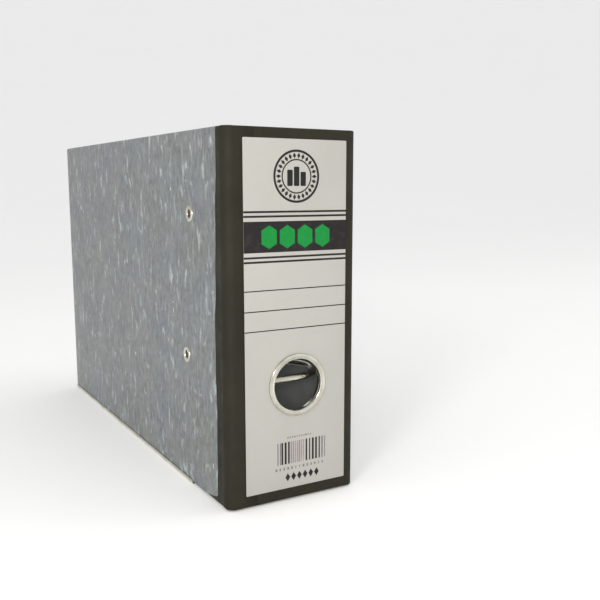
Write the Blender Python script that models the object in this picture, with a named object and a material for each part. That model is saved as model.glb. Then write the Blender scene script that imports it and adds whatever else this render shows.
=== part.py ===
"""Lever arch file: three hinged boards in cloth and paper, with a lever arch mechanism on the back cover.

Metres, +Z up. The file stands upright and closed. +X runs across the spine from the back cover to the
front cover, and +Y runs from the spine to the fore-edge. The origin is the centre of the footprint, on
the surface that the file stands on.
"""

from math import cos, pi, radians, sin

import bmesh
import bpy
from mathutils import Matrix, Vector

# Overall sizes of the closed case, over its papers
CASE_WIDTH = 0.0783
CASE_DEPTH = 0.3050
CASE_HEIGHT = 0.1975

# Sheet thicknesses, and the layer of glue that keeps two sheets apart
BOARD = 0.0020
PAPER = 0.0003
GLUE = 0.0003
LABEL_PAPER = 0.0002

# The fold between the spine and each cover
FOLD_RADIUS = 0.0056
BOARD_INSET = 0.0060
LINING_BEND = 0.0010
CLOTH_REACH = 0.0120
LINING_REACH = 0.0125

# Metal strips along the bottom edges of the covers
STRIP_SHEET = 0.0004
STRIP_HEIGHT = 0.0024
STRIP_START = 0.0480
STRIP_END_INSET = 0.0005

# Spine label and thumb ring
LABEL_BACK_MARGIN = 0.01015
LABEL_FRONT_MARGIN = 0.00735
LABEL_TOP_MARGIN = 0.0055
LABEL_LIFT = 0.0065
RING_BORE_R = 0.0140
RING_OUTER_R = 0.0170
RING_SHEET = 0.0006
RING_RIM = 0.0008
RING_RIGHT_SHIFT = 0.0017
RING_LIFT = 0.0635

# Base plate of the mechanism, on the inside of the back cover
PLATE = 0.0010
PLATE_MARGIN = 0.0070
PLATE_PAST_POSTS = 0.0090
PLATE_CORNER_R = 0.0050

# Posts, and the bow that closes on them
PUNCH_SPACING = 0.0800
POST_DEPTH = 0.0515
POST_LIFT = 0.0653
POST_HEIGHT = 0.0387
POST_R = 0.0025
POST_WALL = 0.0006
POST_FOOT_R = 0.0040
POST_FOOT = 0.0008
POST_SPIGOT_R = 0.0019
WIRE_R = 0.0020
BOW_DEPTH = 0.0076
BOW_AXIS_HEIGHT = 0.0045
BOW_CORNER_R = 0.0050
BOW_NOSE = 0.0010
CRANK_REACH = 0.0167
CRANK_CORNER_R = 0.0030
CRANK_ABOVE_ROLLER = 0.0040
CRANK_BELOW_ROLLER = 0.0060
BEARING_LENGTH = 0.0080
BEARING_WALL = 0.0010
BEARING_INSET = 0.0110

# Lever, its pivot and its roller
LEVER_LENGTH = 0.0560
LEVER_WIDTH = 0.0150
LEVER_SHEET = 0.0010
LEVER_PIVOT_ABOVE_POST = 0.0627
LEVER_HEEL_R = 0.0034
LEVER_TONGUE = 0.0120
TONGUE_KNEE = 0.0060
TONGUE_RISES = (0.0050, 0.0070, 0.0100)
CHEEK_DEPTH = 0.0032
CHEEK_TAPER = 0.0060
CHEEK_TIP_DEPTH = 0.0005
LUG_HALF = 0.0035
LUG_BELOW_ROLLER = 0.0005
LUG_SLOPE = 0.0030
EAR_SHEET = 0.0012
EAR_R = 0.0032
EAR_FOOT_HIGH = 0.0080
EAR_FOOT_LOW = 0.0026
PIN_R = 0.0015
PIN_HEAD_R = 0.0024
PIN_HEAD = 0.0008
ROLLER_R = 0.0040
ROLLER_SIDE_GAP = 0.0010
ROLLER_PIN_R = 0.0012
ROLLER_PIN_HEAD_R = 0.0019
ROLLER_PIN_HEAD = 0.0006
ROLLER_BELOW_PIVOT = 0.0100
ROLLER_DROP = 0.00305

# Torsion spring on the bow
SPRING_WIRE_R = 0.0005
SPRING_CLEARANCE = 0.0006
SPRING_TURNS = 4
SPRING_PITCH = 0.00135
SPRING_LEG = 0.0085
SPRING_BENDS = (0.0008, 0.0015)

# Tubular rivets through the back cover
RIVET_ABOVE_POST = 0.0090
RIVET_SPACING = 0.0790
RIVET_STAGGER = (0.0018, -0.0061)
RIVET_HEAD_R = 0.0045
RIVET_HEAD = 0.0004
RIVET_SHANK_R = 0.00275
RIVET_BORE_R = 0.0023
RIVET_CLINCH_R = 0.0040

# Clearances
GAP = 0.0003
HOLE_GAP = 0.00015
ROUND_SIDES = 32
RING_SIDES = 48
PIN_SIDES = 24

# Places that follow from the sizes
BACK_X = -CASE_WIDTH / 2
RING_PROUD = GLUE + LABEL_PAPER + GAP + RING_RIM
SPINE_Y = -(CASE_DEPTH - RING_PROUD) / 2
FORE_Y = SPINE_Y + CASE_DEPTH
CASE_FOOT = STRIP_SHEET + GAP
CASE_TOP = CASE_FOOT + CASE_HEIGHT
SKIN = PAPER + GLUE
LAYERS = 2 * SKIN + BOARD
FOLD_CLOTH = FOLD_RADIUS * pi / 2 + 2 * (BOARD_INSET - FOLD_RADIUS)
FOLD_INSET = BOARD_INSET - FOLD_CLOTH / 2
FOLD_X = CASE_WIDTH / 2 - FOLD_INSET
FOLD_Y = SPINE_Y + FOLD_INSET
LINING_X = BACK_X + LAYERS
PLATE_X = LINING_X + GAP
PLATE_TOP_X = PLATE_X + PLATE
POST_Y = SPINE_Y + POST_DEPTH
POST_TOP_X = PLATE_TOP_X + POST_HEIGHT
POST_ZS = (CASE_FOOT + POST_LIFT, CASE_FOOT + POST_LIFT + PUNCH_SPACING)
BOW_X = PLATE_TOP_X + BOW_AXIS_HEIGHT
BOW_Y = SPINE_Y + BOW_DEPTH
ARCH_R = (POST_Y - BOW_Y) / 2
ARCH_SPRING_X = POST_TOP_X + GAP
RIVET_Z = POST_ZS[0] + RIVET_ABOVE_POST
RIVET_PLACES = ((POST_Y + RIVET_STAGGER[0], RIVET_Z), (POST_Y + RIVET_STAGGER[1], RIVET_Z + RIVET_SPACING))
LEVER_Y = BOW_Y + CRANK_REACH
LEVER_Z = POST_ZS[0] + LEVER_PIVOT_ABOVE_POST
ROLLER_X = BOW_X + WIRE_R + GAP + ROLLER_R
LEVER_X = ROLLER_X + ROLLER_DROP
ROLLER_Z = LEVER_Z - ROLLER_BELOW_PIVOT
ROLLER_WIDTH = LEVER_WIDTH - 2 * LEVER_SHEET - 2 * ROLLER_SIDE_GAP
CRANK_ZS = (ROLLER_Z - CRANK_BELOW_ROLLER, ROLLER_Z + CRANK_ABOVE_ROLLER)
SPRING_COIL_R = WIRE_R + SPRING_CLEARANCE + SPRING_WIRE_R
PLATE_Y = (BOW_Y - WIRE_R - HOLE_GAP - BEARING_WALL, POST_Y + PLATE_PAST_POSTS)
PLATE_Z = (POST_ZS[0] - PLATE_MARGIN, RIVET_PLACES[1][1] + PLATE_MARGIN)
RING_X = RING_RIGHT_SHIFT
RING_Z = CASE_FOOT + RING_LIFT
LABEL_Y = SPINE_Y - GLUE - LABEL_PAPER


def clear_scene():
    for obj in list(bpy.data.objects):
        bpy.data.objects.remove(obj, do_unlink=True)


def make_material(name, colour, roughness, metallic=0.0):
    material = bpy.data.materials.new(name)
    material.use_nodes = True
    shader = material.node_tree.nodes["Principled BSDF"]
    shader.inputs["Base Color"].default_value = (*colour, 1.0)
    shader.inputs["Roughness"].default_value = roughness
    shader.inputs["Metallic"].default_value = metallic
    material.diffuse_color = (*colour, 1.0)
    return material


def make_materials():
    return {
        "greyboard": make_material("greyboard", (0.36, 0.34, 0.31), 0.9),
        "marbled_paper": make_material("marbled_paper", (0.23, 0.25, 0.26), 0.45),
        "spine_cloth": make_material("spine_cloth", (0.035, 0.032, 0.026), 0.6),
        "lining_paper": make_material("lining_paper", (0.10, 0.11, 0.12), 0.75),
        "label_paper": make_material("label_paper", (0.78, 0.75, 0.69), 0.6),
        "nickel": make_material("nickel", (0.72, 0.70, 0.66), 0.22, 1.0),
        "zinc_plate": make_material("zinc_plate", (0.62, 0.63, 0.64), 0.32, 1.0),
        "spring_steel": make_material("spring_steel", (0.30, 0.30, 0.31), 0.35, 1.0),
    }


def finish(name, bm, material, location=(0, 0, 0), smooth_angle=None):
    """Turns a bmesh into the named object, with its material and its shading."""
    bmesh.ops.recalc_face_normals(bm, faces=bm.faces)
    mesh = bpy.data.meshes.new(name)
    bm.to_mesh(mesh)
    bm.free()
    if smooth_angle is not None:
        mesh.shade_smooth()
        mesh.set_sharp_from_angle(angle=radians(smooth_angle))
    obj = bpy.data.objects.new(name, mesh)
    obj.location = location
    bpy.context.scene.collection.objects.link(obj)
    if material:
        mesh.materials.append(material)
    return obj


def add_box(bm, low, high):
    """A closed box between two corners."""
    size = [h - l for l, h in zip(low, high)]
    middle = [(h + l) / 2 for l, h in zip(low, high)]
    place = Matrix.Translation(middle) @ Matrix.Diagonal((*size, 1.0))
    bmesh.ops.create_cube(bm, size=1.0, matrix=place)


def box(name, low, high, material=None):
    """A box whose object stands at its own middle."""
    middle = Vector([(h + l) / 2 for l, h in zip(low, high)])
    bm = bmesh.new()
    add_box(bm, Vector(low) - middle, Vector(high) - middle)
    return finish(name, bm, material, middle)


def prism(name, outline, low, high, axis, material=None):
    """A flat outline pushed along an axis. The outline gives the other two coordinates in order."""
    others = [i for i in range(3) if i != axis]
    rings = []
    bm = bmesh.new()
    for level in (low, high):
        ring = []
        for point in outline:
            place = [0.0, 0.0, 0.0]
            place[axis] = level
            place[others[0]], place[others[1]] = point
            ring.append(bm.verts.new(place))
        rings.append(ring)
    count = len(outline)
    bm.faces.new(rings[0])
    bm.faces.new(rings[1])
    for i in range(count):
        j = (i + 1) % count
        bm.faces.new((rings[0][i], rings[0][j], rings[1][j], rings[1][i]))
    return finish(name, bm, material, smooth_angle=35)


def turned(name, profile, axis, location, material=None, sides=ROUND_SIDES):
    """A closed profile of (radius, height) points turned about an axis through the location."""
    bm = bmesh.new()
    up = Vector((0, 0, 0))
    up[axis] = 1.0
    first = Vector((0, 0, 0))
    first[(axis + 1) % 3] = 1.0
    second = up.cross(first)
    rings = []
    for i in range(sides):
        angle = 2 * pi * i / sides
        outward = first * cos(angle) + second * sin(angle)
        rings.append([bm.verts.new(outward * r + up * h) for r, h in profile])
    for i in range(sides):
        here, there = rings[i], rings[(i + 1) % sides]
        for j in range(len(profile)):
            k = (j + 1) % len(profile)
            bm.faces.new((here[j], there[j], there[k], here[k]))
    return finish(name, bm, material, location, smooth_angle=35)


def rod(name, radius, low, high, axis, location, material=None, sides=ROUND_SIDES):
    """A solid round rod along an axis, from low to high about the location."""
    along = Vector((0, 0, 0))
    along[axis] = 1.0
    turn = along.to_track_quat("Z", "Y").to_matrix().to_4x4()
    place = Matrix.Translation(along * (low + high) / 2) @ turn
    bm = bmesh.new()
    bmesh.ops.create_cone(
        bm, cap_ends=True, segments=sides, radius1=radius, radius2=radius, depth=high - low, matrix=place
    )
    return finish(name, bm, material, location, smooth_angle=35)


def combine(target, other, operation):
    """A Boolean on the target. The other object becomes a hidden helper."""
    modifier = target.modifiers.new(operation.lower() + "_" + other.name, "BOOLEAN")
    modifier.operation = operation
    modifier.solver = "EXACT"
    modifier.object = other
    other.hide_render = True
    other.display_type = "WIRE"


def drill(target, radius, low, high, axis, location):
    """A round hole through the target."""
    count = len(target.modifiers)
    cutter = rod(f"{target.name}_drill_{count}", radius, low, high, axis, location)
    combine(target, cutter, "DIFFERENCE")


def arc(centre, radius, start, end, steps=6):
    """Points on an arc in a plane, with angles in degrees, both ends included."""
    points = []
    for i in range(steps + 1):
        angle = radians(start + (end - start) * i / steps)
        points.append((centre[0] + radius * cos(angle), centre[1] + radius * sin(angle)))
    return points


def rounded_path(corners, radii, steps=5):
    """A path through corner points with its inner corners rounded. A radius of 0 keeps a corner."""
    path = [Vector(corners[0])]
    for before, corner, after, radius in zip(corners, corners[1:], corners[2:], radii):
        before, corner, after = Vector(before), Vector(corner), Vector(after)
        if radius == 0:
            path.append(corner)
            continue
        inward, outward = (before - corner).normalized(), (after - corner).normalized()
        half = inward.angle(outward) / 2
        reach = radius / sin(half) * cos(half)
        centre = corner + (inward + outward).normalized() * (radius / sin(half))
        start, end = corner + inward * reach - centre, corner + outward * reach - centre
        for i in range(steps + 1):
            path.append(centre + start.slerp(end, i / steps).normalized() * radius)
    path.append(Vector(corners[-1]))
    return path


def wire(name, path, radius, material, tapers=None, resolution=2):
    """A round wire along a path, as a curve with filled caps. Tapers thin single points."""
    curve = bpy.data.curves.new(name, "CURVE")
    curve.dimensions = "3D"
    curve.bevel_depth = radius
    curve.bevel_resolution = resolution
    curve.use_fill_caps = True
    spline = curve.splines.new("POLY")
    spline.points.add(len(path) - 1)
    for point, place in zip(spline.points, path):
        point.co = (*place, 1.0)
    for index, share in (tapers or {}).items():
        spline.points[index].radius = share
    spline.use_smooth = True
    curve.materials.append(material)
    obj = bpy.data.objects.new(name, curve)
    bpy.context.scene.collection.objects.link(obj)
    return obj


def move_origin(obj, place):
    """Puts an object's origin at a place without moving its shape."""
    shift = Vector(place) - obj.location
    obj.data.transform(Matrix.Translation(-shift))
    obj.location = place


def side_box(side, near, far):
    """X limits of a layer of a cover, from its depth below the outer face. The back cover is side -1."""
    ends = (side * (CASE_WIDTH / 2 - near), side * (CASE_WIDTH / 2 - far))
    return min(ends), max(ends)


def make_cover(side, prefix, materials):
    """The greyboard, the outer paper wrapped over three of its edges, and the lining of one cover."""
    x_low, x_high = side_box(side, SKIN, SKIN + BOARD)
    box(
        f"{prefix}_board",
        (x_low, SPINE_Y + BOARD_INSET, CASE_FOOT + SKIN),
        (x_high, FORE_Y - SKIN, CASE_TOP - SKIN),
        materials["greyboard"],
    )
    x_low, x_high = side_box(side, 0, SKIN + BOARD)
    paper = box(
        f"{prefix}_cover_paper",
        (x_low, SPINE_Y + CLOTH_REACH + GAP, CASE_FOOT),
        (x_high, FORE_Y, CASE_TOP),
        materials["marbled_paper"],
    )
    x_low, x_high = side_box(side, PAPER, LAYERS)
    hollow = box(
        f"{prefix}_paper_hollow",
        (x_low, SPINE_Y, CASE_FOOT + PAPER),
        (x_high, FORE_Y - PAPER, CASE_TOP - PAPER),
    )
    combine(paper, hollow, "DIFFERENCE")
    x_low, x_high = side_box(side, LAYERS - PAPER, LAYERS)
    return box(
        f"{prefix}_lining",
        (x_low, SPINE_Y + LINING_REACH + GAP, CASE_FOOT + SKIN),
        (x_high, FORE_Y - SKIN, CASE_TOP - SKIN),
        materials["lining_paper"],
    )


def fold_outline(outer, bend, reach):
    """A U-shaped sheet round the spine, as an outline in X and Y. Outer is its depth below the faces."""
    sheets = []
    for depth, radius in ((outer, bend), (outer + PAPER, bend - PAPER)):
        half = CASE_WIDTH / 2 - depth
        y = SPINE_Y + depth
        left, right = (-half + radius, y + radius), (half - radius, y + radius)
        corner = arc(left, radius, 180, 270) + arc(right, radius, 270, 360)
        sheets.append([(-half, SPINE_Y + reach)] + corner + [(half, SPINE_Y + reach)])
    return sheets[0] + sheets[1][::-1]


def make_spine(materials):
    """The spine board, with the cloth and the lining that hinge it to both covers."""
    half = CASE_WIDTH / 2 - BOARD_INSET
    board = box(
        "spine_board",
        (-half, SPINE_Y + SKIN, CASE_FOOT + SKIN),
        (half, SPINE_Y + SKIN + BOARD, CASE_TOP - SKIN),
        materials["greyboard"],
    )
    outline = fold_outline(0, FOLD_RADIUS, CLOTH_REACH)
    cloth = prism("spine_cloth", outline, CASE_FOOT, CASE_TOP, 2, materials["spine_cloth"])
    outline = fold_outline(LAYERS - PAPER, LINING_BEND + PAPER, LINING_REACH)
    foot, top = CASE_FOOT + SKIN, CASE_TOP - SKIN
    lining = prism("spine_lining", outline, foot, top, 2, materials["lining_paper"])
    label = box(
        "spine_label",
        (-CASE_WIDTH / 2 + LABEL_BACK_MARGIN, LABEL_Y, CASE_FOOT + LABEL_LIFT),
        (CASE_WIDTH / 2 - LABEL_FRONT_MARGIN, LABEL_Y + LABEL_PAPER, CASE_TOP - LABEL_TOP_MARGIN),
        materials["label_paper"],
    )
    for sheet in (board, cloth, lining, label):
        drill(sheet, RING_BORE_R + RING_SHEET + GAP, -LAYERS, 2 * LAYERS, 1, (RING_X, SPINE_Y, RING_Z))


def make_thumb_ring(materials):
    """The eyelet of the thumb hole: a flanged sleeve from outside, and a washer inside."""
    face = LABEL_Y - GAP - SPINE_Y
    inside = LAYERS + GAP
    sleeve_r = RING_BORE_R + RING_SHEET
    crown = face - RING_RIM
    flange = [
        (RING_BORE_R, inside + 2 * RING_SHEET),
        (RING_BORE_R, crown + RING_RIM / 2),
        (RING_BORE_R + RING_RIM / 2, crown),
        (RING_OUTER_R - RING_RIM / 2, crown),
        (RING_OUTER_R, crown + RING_RIM / 2),
        (RING_OUTER_R, face),
        (sleeve_r, face),
        (sleeve_r, inside + 2 * RING_SHEET),
    ]
    place = (RING_X, SPINE_Y, RING_Z)
    turned("thumb_ring_outer", flange, 1, place, materials["nickel"], sides=RING_SIDES)
    washer = [
        (sleeve_r + GAP, inside),
        (RING_OUTER_R, inside),
        (RING_OUTER_R, inside + RING_SHEET),
        (sleeve_r + GAP, inside + RING_SHEET),
    ]
    turned("thumb_ring_inner", washer, 1, place, materials["nickel"], sides=RING_SIDES)


def make_edge_strip(side, prefix, materials):
    """A channel of thin metal on the bottom edge of a cover."""
    x_low, x_high = side_box(side, -GAP - STRIP_SHEET, LAYERS + GAP + STRIP_SHEET)
    ends = (SPINE_Y + STRIP_START, FORE_Y - STRIP_END_INSET)
    low, high = (x_low, ends[0], 0), (x_high, ends[1], STRIP_HEIGHT)
    strip = box(f"{prefix}_edge_strip", low, high, materials["nickel"])
    x_low, x_high = side_box(side, -GAP, LAYERS + GAP)
    hollow = box(
        f"{prefix}_strip_hollow",
        (x_low, ends[0] - GAP, STRIP_SHEET),
        (x_high, ends[1] + GAP, 2 * STRIP_HEIGHT),
    )
    combine(strip, hollow, "DIFFERENCE")


def make_base_plate(materials):
    """The stamped plate, with its two bearings for the bow and its two ears for the lever."""
    y_low, y_high = PLATE_Y
    z_low, z_high = PLATE_Z
    r = PLATE_CORNER_R
    outline = arc((y_low + r, z_low + r), r, 180, 270, 4) + arc((y_high - r, z_low + r), r, 270, 360, 4)
    outline += arc((y_high - r, z_high - r), r, 0, 90, 4) + arc((y_low + r, z_high - r), r, 90, 180, 4)
    plate = prism("mechanism_base_plate", outline, PLATE_X, PLATE_TOP_X, 0, materials["zinc_plate"])
    root = PLATE_TOP_X - PLATE / 2

    outer, inner = WIRE_R + HOLE_GAP + BEARING_WALL, WIRE_R + HOLE_GAP
    hoop = [(root, BOW_Y + outer)] + arc((BOW_X, BOW_Y), outer, 90, -90, 8) + [(root, BOW_Y - outer)]
    hoop += [(root, BOW_Y - inner)] + arc((BOW_X, BOW_Y), inner, -90, 90, 8) + [(root, BOW_Y + inner)]
    for i, z in enumerate((POST_ZS[0] + BEARING_INSET, POST_ZS[1] - BEARING_INSET)):
        ends = (z - BEARING_LENGTH / 2, z + BEARING_LENGTH / 2)
        combine(plate, prism(f"bearing_{i}", hoop, ends[0], ends[1], 2), "UNION")

    foot = [(root, LEVER_Z + EAR_FOOT_HIGH), (root, LEVER_Z - EAR_FOOT_LOW)]
    ear = foot + arc((LEVER_X, LEVER_Z), EAR_R, -90, 90, 10)
    for i, sign in enumerate((-1, 1)):
        near = LEVER_Y + sign * (LEVER_WIDTH / 2 + GAP)
        far = near + sign * EAR_SHEET
        lug = prism(f"ear_{i}", ear, min(near, far), max(near, far), 1)
        combine(plate, lug, "UNION")
    reach = LEVER_WIDTH / 2 + GAP + 2 * EAR_SHEET
    drill(plate, PIN_R + HOLE_GAP, -reach, reach, 1, (LEVER_X, LEVER_Y, LEVER_Z))
    for z in POST_ZS:
        drill(plate, POST_SPIGOT_R + HOLE_GAP, -GAP, 2 * PLATE, 0, (PLATE_X, POST_Y, z))
    for y, z in RIVET_PLACES:
        drill(plate, RIVET_SHANK_R + GAP, -GAP, 2 * PLATE, 0, (PLATE_X, y, z))
    return plate


def make_posts(materials):
    """Two hollow posts, each with a foot flange and a spigot in the base plate."""
    bore = POST_R - POST_WALL
    low_bore = POST_SPIGOT_R - POST_WALL
    profile = [
        (low_bore, 0),
        (POST_SPIGOT_R, 0),
        (POST_SPIGOT_R, PLATE + GAP),
        (POST_FOOT_R, PLATE + GAP),
        (POST_FOOT_R, PLATE + GAP + POST_FOOT),
        (POST_R, PLATE + GAP + POST_FOOT),
        (POST_R, PLATE + POST_HEIGHT - POST_WALL / 3),
        (POST_R - POST_WALL / 3, PLATE + POST_HEIGHT),
        (bore, PLATE + POST_HEIGHT),
        (bore, PLATE + GAP + 2 * POST_FOOT),
        (low_bore, PLATE + GAP + POST_FOOT),
    ]
    for name, z in zip(("post_lower", "post_upper"), POST_ZS):
        turned(name, profile, 0, (PLATE_X, POST_Y, z), materials["nickel"])


def make_rivets(materials):
    """Two tubular rivets that hold the base plate, with an open head on the outside of the cover."""
    outside = -GAP
    inside = LAYERS + GAP + PLATE + GAP
    profile = [
        (RIVET_BORE_R, outside - RIVET_HEAD),
        (RIVET_HEAD_R - RIVET_HEAD / 2, outside - RIVET_HEAD),
        (RIVET_HEAD_R, outside - RIVET_HEAD / 2),
        (RIVET_HEAD_R, outside),
        (RIVET_SHANK_R, outside),
        (RIVET_SHANK_R, inside),
        (RIVET_CLINCH_R, inside),
        (RIVET_CLINCH_R, inside + RIVET_HEAD),
        (RIVET_BORE_R, inside + RIVET_HEAD),
    ]
    for name, (y, z) in zip(("rivet_lower", "rivet_upper"), RIVET_PLACES):
        place = (BACK_X, y, z)
        turned(name, profile, 0, place, materials["nickel"])
        for sheet in ("back_board", "back_cover_paper", "back_lining"):
            drill(bpy.data.objects[sheet], RIVET_SHANK_R + GAP, -LAYERS, 2 * LAYERS, 0, place)


def make_bow(materials):
    """One bent wire: an arch at each end, and between them the shaft with the crank for the lever."""
    crank_low, crank_high = CRANK_ZS
    half_arches = []
    for z in POST_ZS:
        centre = (ARCH_SPRING_X, (BOW_Y + POST_Y) / 2)
        half_arches.append([Vector((x, y, z)) for x, y in arc(centre, ARCH_R, 90, -90, 16)])
    shaft = rounded_path(
        [
            (ARCH_SPRING_X, BOW_Y, POST_ZS[1]),
            (BOW_X, BOW_Y, POST_ZS[1]),
            (BOW_X, BOW_Y, crank_high),
            (BOW_X, LEVER_Y, crank_high),
            (BOW_X, LEVER_Y, crank_low),
            (BOW_X, BOW_Y, crank_low),
            (BOW_X, BOW_Y, POST_ZS[0]),
            (ARCH_SPRING_X, BOW_Y, POST_ZS[0]),
        ],
        [BOW_CORNER_R, CRANK_CORNER_R, CRANK_CORNER_R, CRANK_CORNER_R, CRANK_CORNER_R, BOW_CORNER_R],
    )
    step = BOW_NOSE / 50
    tips = []
    for z in POST_ZS:
        end = Vector((ARCH_SPRING_X, POST_Y, z))
        tips.append([end - Vector((BOW_NOSE, 0, 0)), end - Vector((step, 0, 0))])
    path = tips[1] + half_arches[1] + shaft[1:-1] + half_arches[0][::-1] + tips[0][::-1]
    bow = wire("arch_bow", path, WIRE_R, materials["nickel"], {0: 0.4, 1: 0.7, -2: 0.7, -1: 0.4})
    move_origin(bow, (BOW_X, BOW_Y, POST_ZS[0]))


def make_spring(materials):
    """A torsion spring round the bow's shaft: one leg on the base plate, one under the crank."""
    crank_z = CRANK_ZS[0]
    coil_low = crank_z - CRANK_CORNER_R - WIRE_R - (SPRING_TURNS + 1) * SPRING_PITCH
    sides = 14
    coil = []
    for i in range(SPRING_TURNS * sides + 1):
        angle = pi + 2 * pi * i / sides
        z = coil_low + SPRING_PITCH * i / sides
        coil.append(Vector((BOW_X + SPRING_COIL_R * cos(angle), BOW_Y + SPRING_COIL_R * sin(angle), z)))
    start, end = coil[0], coil[-1]
    hook = [
        end,
        Vector((end.x, end.y - 2 * SPRING_WIRE_R, end.z)),
        Vector((end.x, end.y - 2 * SPRING_WIRE_R, crank_z)),
        Vector((end.x, end.y + SPRING_LEG, crank_z)),
    ]
    tail = rounded_path(hook, SPRING_BENDS, steps=3)
    path = [start + Vector((0, SPRING_LEG, 0))] + coil + tail[1:]
    spring = wire("bow_spring", path, SPRING_WIRE_R, materials["spring_steel"], resolution=1)
    move_origin(spring, (BOW_X, BOW_Y, coil_low))


def lever_point(along, out):
    """A point of the lever's side view, from its distance along the lever and its height over the pivot."""
    return LEVER_X + out, LEVER_Z - along


def make_lever(materials):
    """A folded channel: two cheeks and a web that runs on into the finger tongue."""
    half = LEVER_WIDTH / 2
    tongue_start = LEVER_LENGTH - LEVER_TONGUE
    lug = ROLLER_DROP + ROLLER_PIN_HEAD_R + LEVER_SHEET
    lug_start = ROLLER_BELOW_PIVOT - LUG_HALF + LUG_BELOW_ROLLER
    lug_end = ROLLER_BELOW_PIVOT + LUG_HALF + LUG_BELOW_ROLLER
    cheek = arc((0, 0), LEVER_HEEL_R, 90, 250, 8)
    cheek += [
        (lug_start - LUG_SLOPE, -CHEEK_DEPTH),
        (lug_start, -lug),
        (lug_end, -lug),
        (lug_end + 2 * LUG_SLOPE, -CHEEK_DEPTH),
        (tongue_start - CHEEK_TAPER, -CHEEK_TIP_DEPTH),
        (tongue_start, TONGUE_RISES[0] - LEVER_SHEET * 0.8),
    ]
    cheek = [lever_point(along, out) for along, out in cheek]
    web_line = [(-LEVER_SHEET / 2, LEVER_HEEL_R)]
    web_line += zip((tongue_start, tongue_start + TONGUE_KNEE, LEVER_LENGTH), TONGUE_RISES)
    top = [lever_point(along, out + LEVER_SHEET * 0.3) for along, out in web_line]
    under = [lever_point(along, out - LEVER_SHEET * 0.7) for along, out in web_line]
    lever = prism("lever", top + under[::-1], LEVER_Y - half, LEVER_Y + half, 1, materials["zinc_plate"])
    inset = LEVER_SHEET / 20
    for i, sign in enumerate((-1, 1)):
        outer = LEVER_Y + sign * (half - inset)
        inner = outer - sign * LEVER_SHEET
        combine(lever, prism(f"cheek_{i}", cheek, min(outer, inner), max(outer, inner), 1), "UNION")
    drill(lever, PIN_R + HOLE_GAP, -half - GAP, half + GAP, 1, (LEVER_X, LEVER_Y, LEVER_Z))
    drill(lever, ROLLER_PIN_R + HOLE_GAP, -half - GAP, half + GAP, 1, (ROLLER_X, LEVER_Y, ROLLER_Z))
    move_origin(lever, (LEVER_X, LEVER_Y, LEVER_Z))


def headed_pin(name, radius, head_radius, head, half_length, location, material):
    """A pin with a head at each end, along Y."""
    bm = bmesh.new()
    profile = [
        (head_radius, -half_length - head),
        (head_radius, -half_length),
        (radius, -half_length),
        (radius, half_length),
        (head_radius, half_length),
        (head_radius, half_length + head),
    ]
    rings = []
    for r, y in profile:
        angles = [2 * pi * i / PIN_SIDES for i in range(PIN_SIDES)]
        rings.append([bm.verts.new((r * cos(a), y, r * sin(a))) for a in angles])
    for here, there in zip(rings, rings[1:]):
        for i in range(PIN_SIDES):
            j = (i + 1) % PIN_SIDES
            bm.faces.new((here[i], here[j], there[j], there[i]))
    bm.faces.new(rings[0])
    bm.faces.new(rings[-1])
    return finish(name, bm, material, location, smooth_angle=35)


def make_pins_and_roller(materials):
    """The lever's pivot pin, and the roller on its own pin between the cheeks."""
    reach = LEVER_WIDTH / 2 + 2 * GAP + EAR_SHEET
    place = (LEVER_X, LEVER_Y, LEVER_Z)
    headed_pin("lever_pivot_pin", PIN_R, PIN_HEAD_R, PIN_HEAD, reach, place, materials["nickel"])
    inside = LEVER_WIDTH / 2 - LEVER_SHEET - GAP
    place = (ROLLER_X, LEVER_Y, ROLLER_Z)
    profile = [
        (ROLLER_PIN_R + HOLE_GAP, -ROLLER_WIDTH / 2),
        (ROLLER_R, -ROLLER_WIDTH / 2),
        (ROLLER_R, ROLLER_WIDTH / 2),
        (ROLLER_PIN_R + HOLE_GAP, ROLLER_WIDTH / 2),
    ]
    turned("lever_roller", profile, 1, place, materials["nickel"])
    reach = inside + LEVER_SHEET + 2 * GAP
    head = ROLLER_PIN_HEAD
    headed_pin("roller_pin", ROLLER_PIN_R, ROLLER_PIN_HEAD_R, head, reach, place, materials["nickel"])


def joint_axis(name, place, parent=None):
    """An empty on the axis of a joint, on which the moving pieces hang."""
    axis = bpy.data.objects.new(name, None)
    axis.location = place
    bpy.context.scene.collection.objects.link(axis)
    if parent:
        hang(axis, parent)
    return axis


def hang(obj, parent):
    """Parents an object that has no parent yet, and leaves it where it is."""
    bpy.context.view_layer.update()
    obj.parent = parent
    obj.location = Vector(obj.location) - parent.matrix_world.translation


def hang_moving_pieces():
    """The spine turns on the back cover, the front cover on the spine, and the roller on the lever."""
    middle = (CASE_FOOT + CASE_TOP) / 2
    spine_axis = joint_axis("spine_fold_axis", (-FOLD_X, FOLD_Y, middle))
    front_axis = joint_axis("front_cover_fold_axis", (FOLD_X, FOLD_Y, middle), spine_axis)
    objects = bpy.data.objects
    for name in ("board", "cloth", "lining", "label"):
        hang(objects[f"spine_{name}"], spine_axis)
    for name in ("outer", "inner"):
        hang(objects[f"thumb_ring_{name}"], spine_axis)
    for name in ("board", "cover_paper", "lining", "edge_strip"):
        hang(objects[f"front_{name}"], front_axis)
    for name in ("lever_roller", "roller_pin"):
        hang(objects[name], objects["lever"])


def main():
    clear_scene()
    materials = make_materials()
    for side, prefix in ((-1, "back"), (1, "front")):
        make_cover(side, prefix, materials)
        make_edge_strip(side, prefix, materials)
    make_spine(materials)
    make_thumb_ring(materials)
    make_base_plate(materials)
    make_posts(materials)
    make_rivets(materials)
    make_bow(materials)
    make_spring(materials)
    make_lever(materials)
    make_pins_and_roller(materials)
    hang_moving_pieces()


main()
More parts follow.
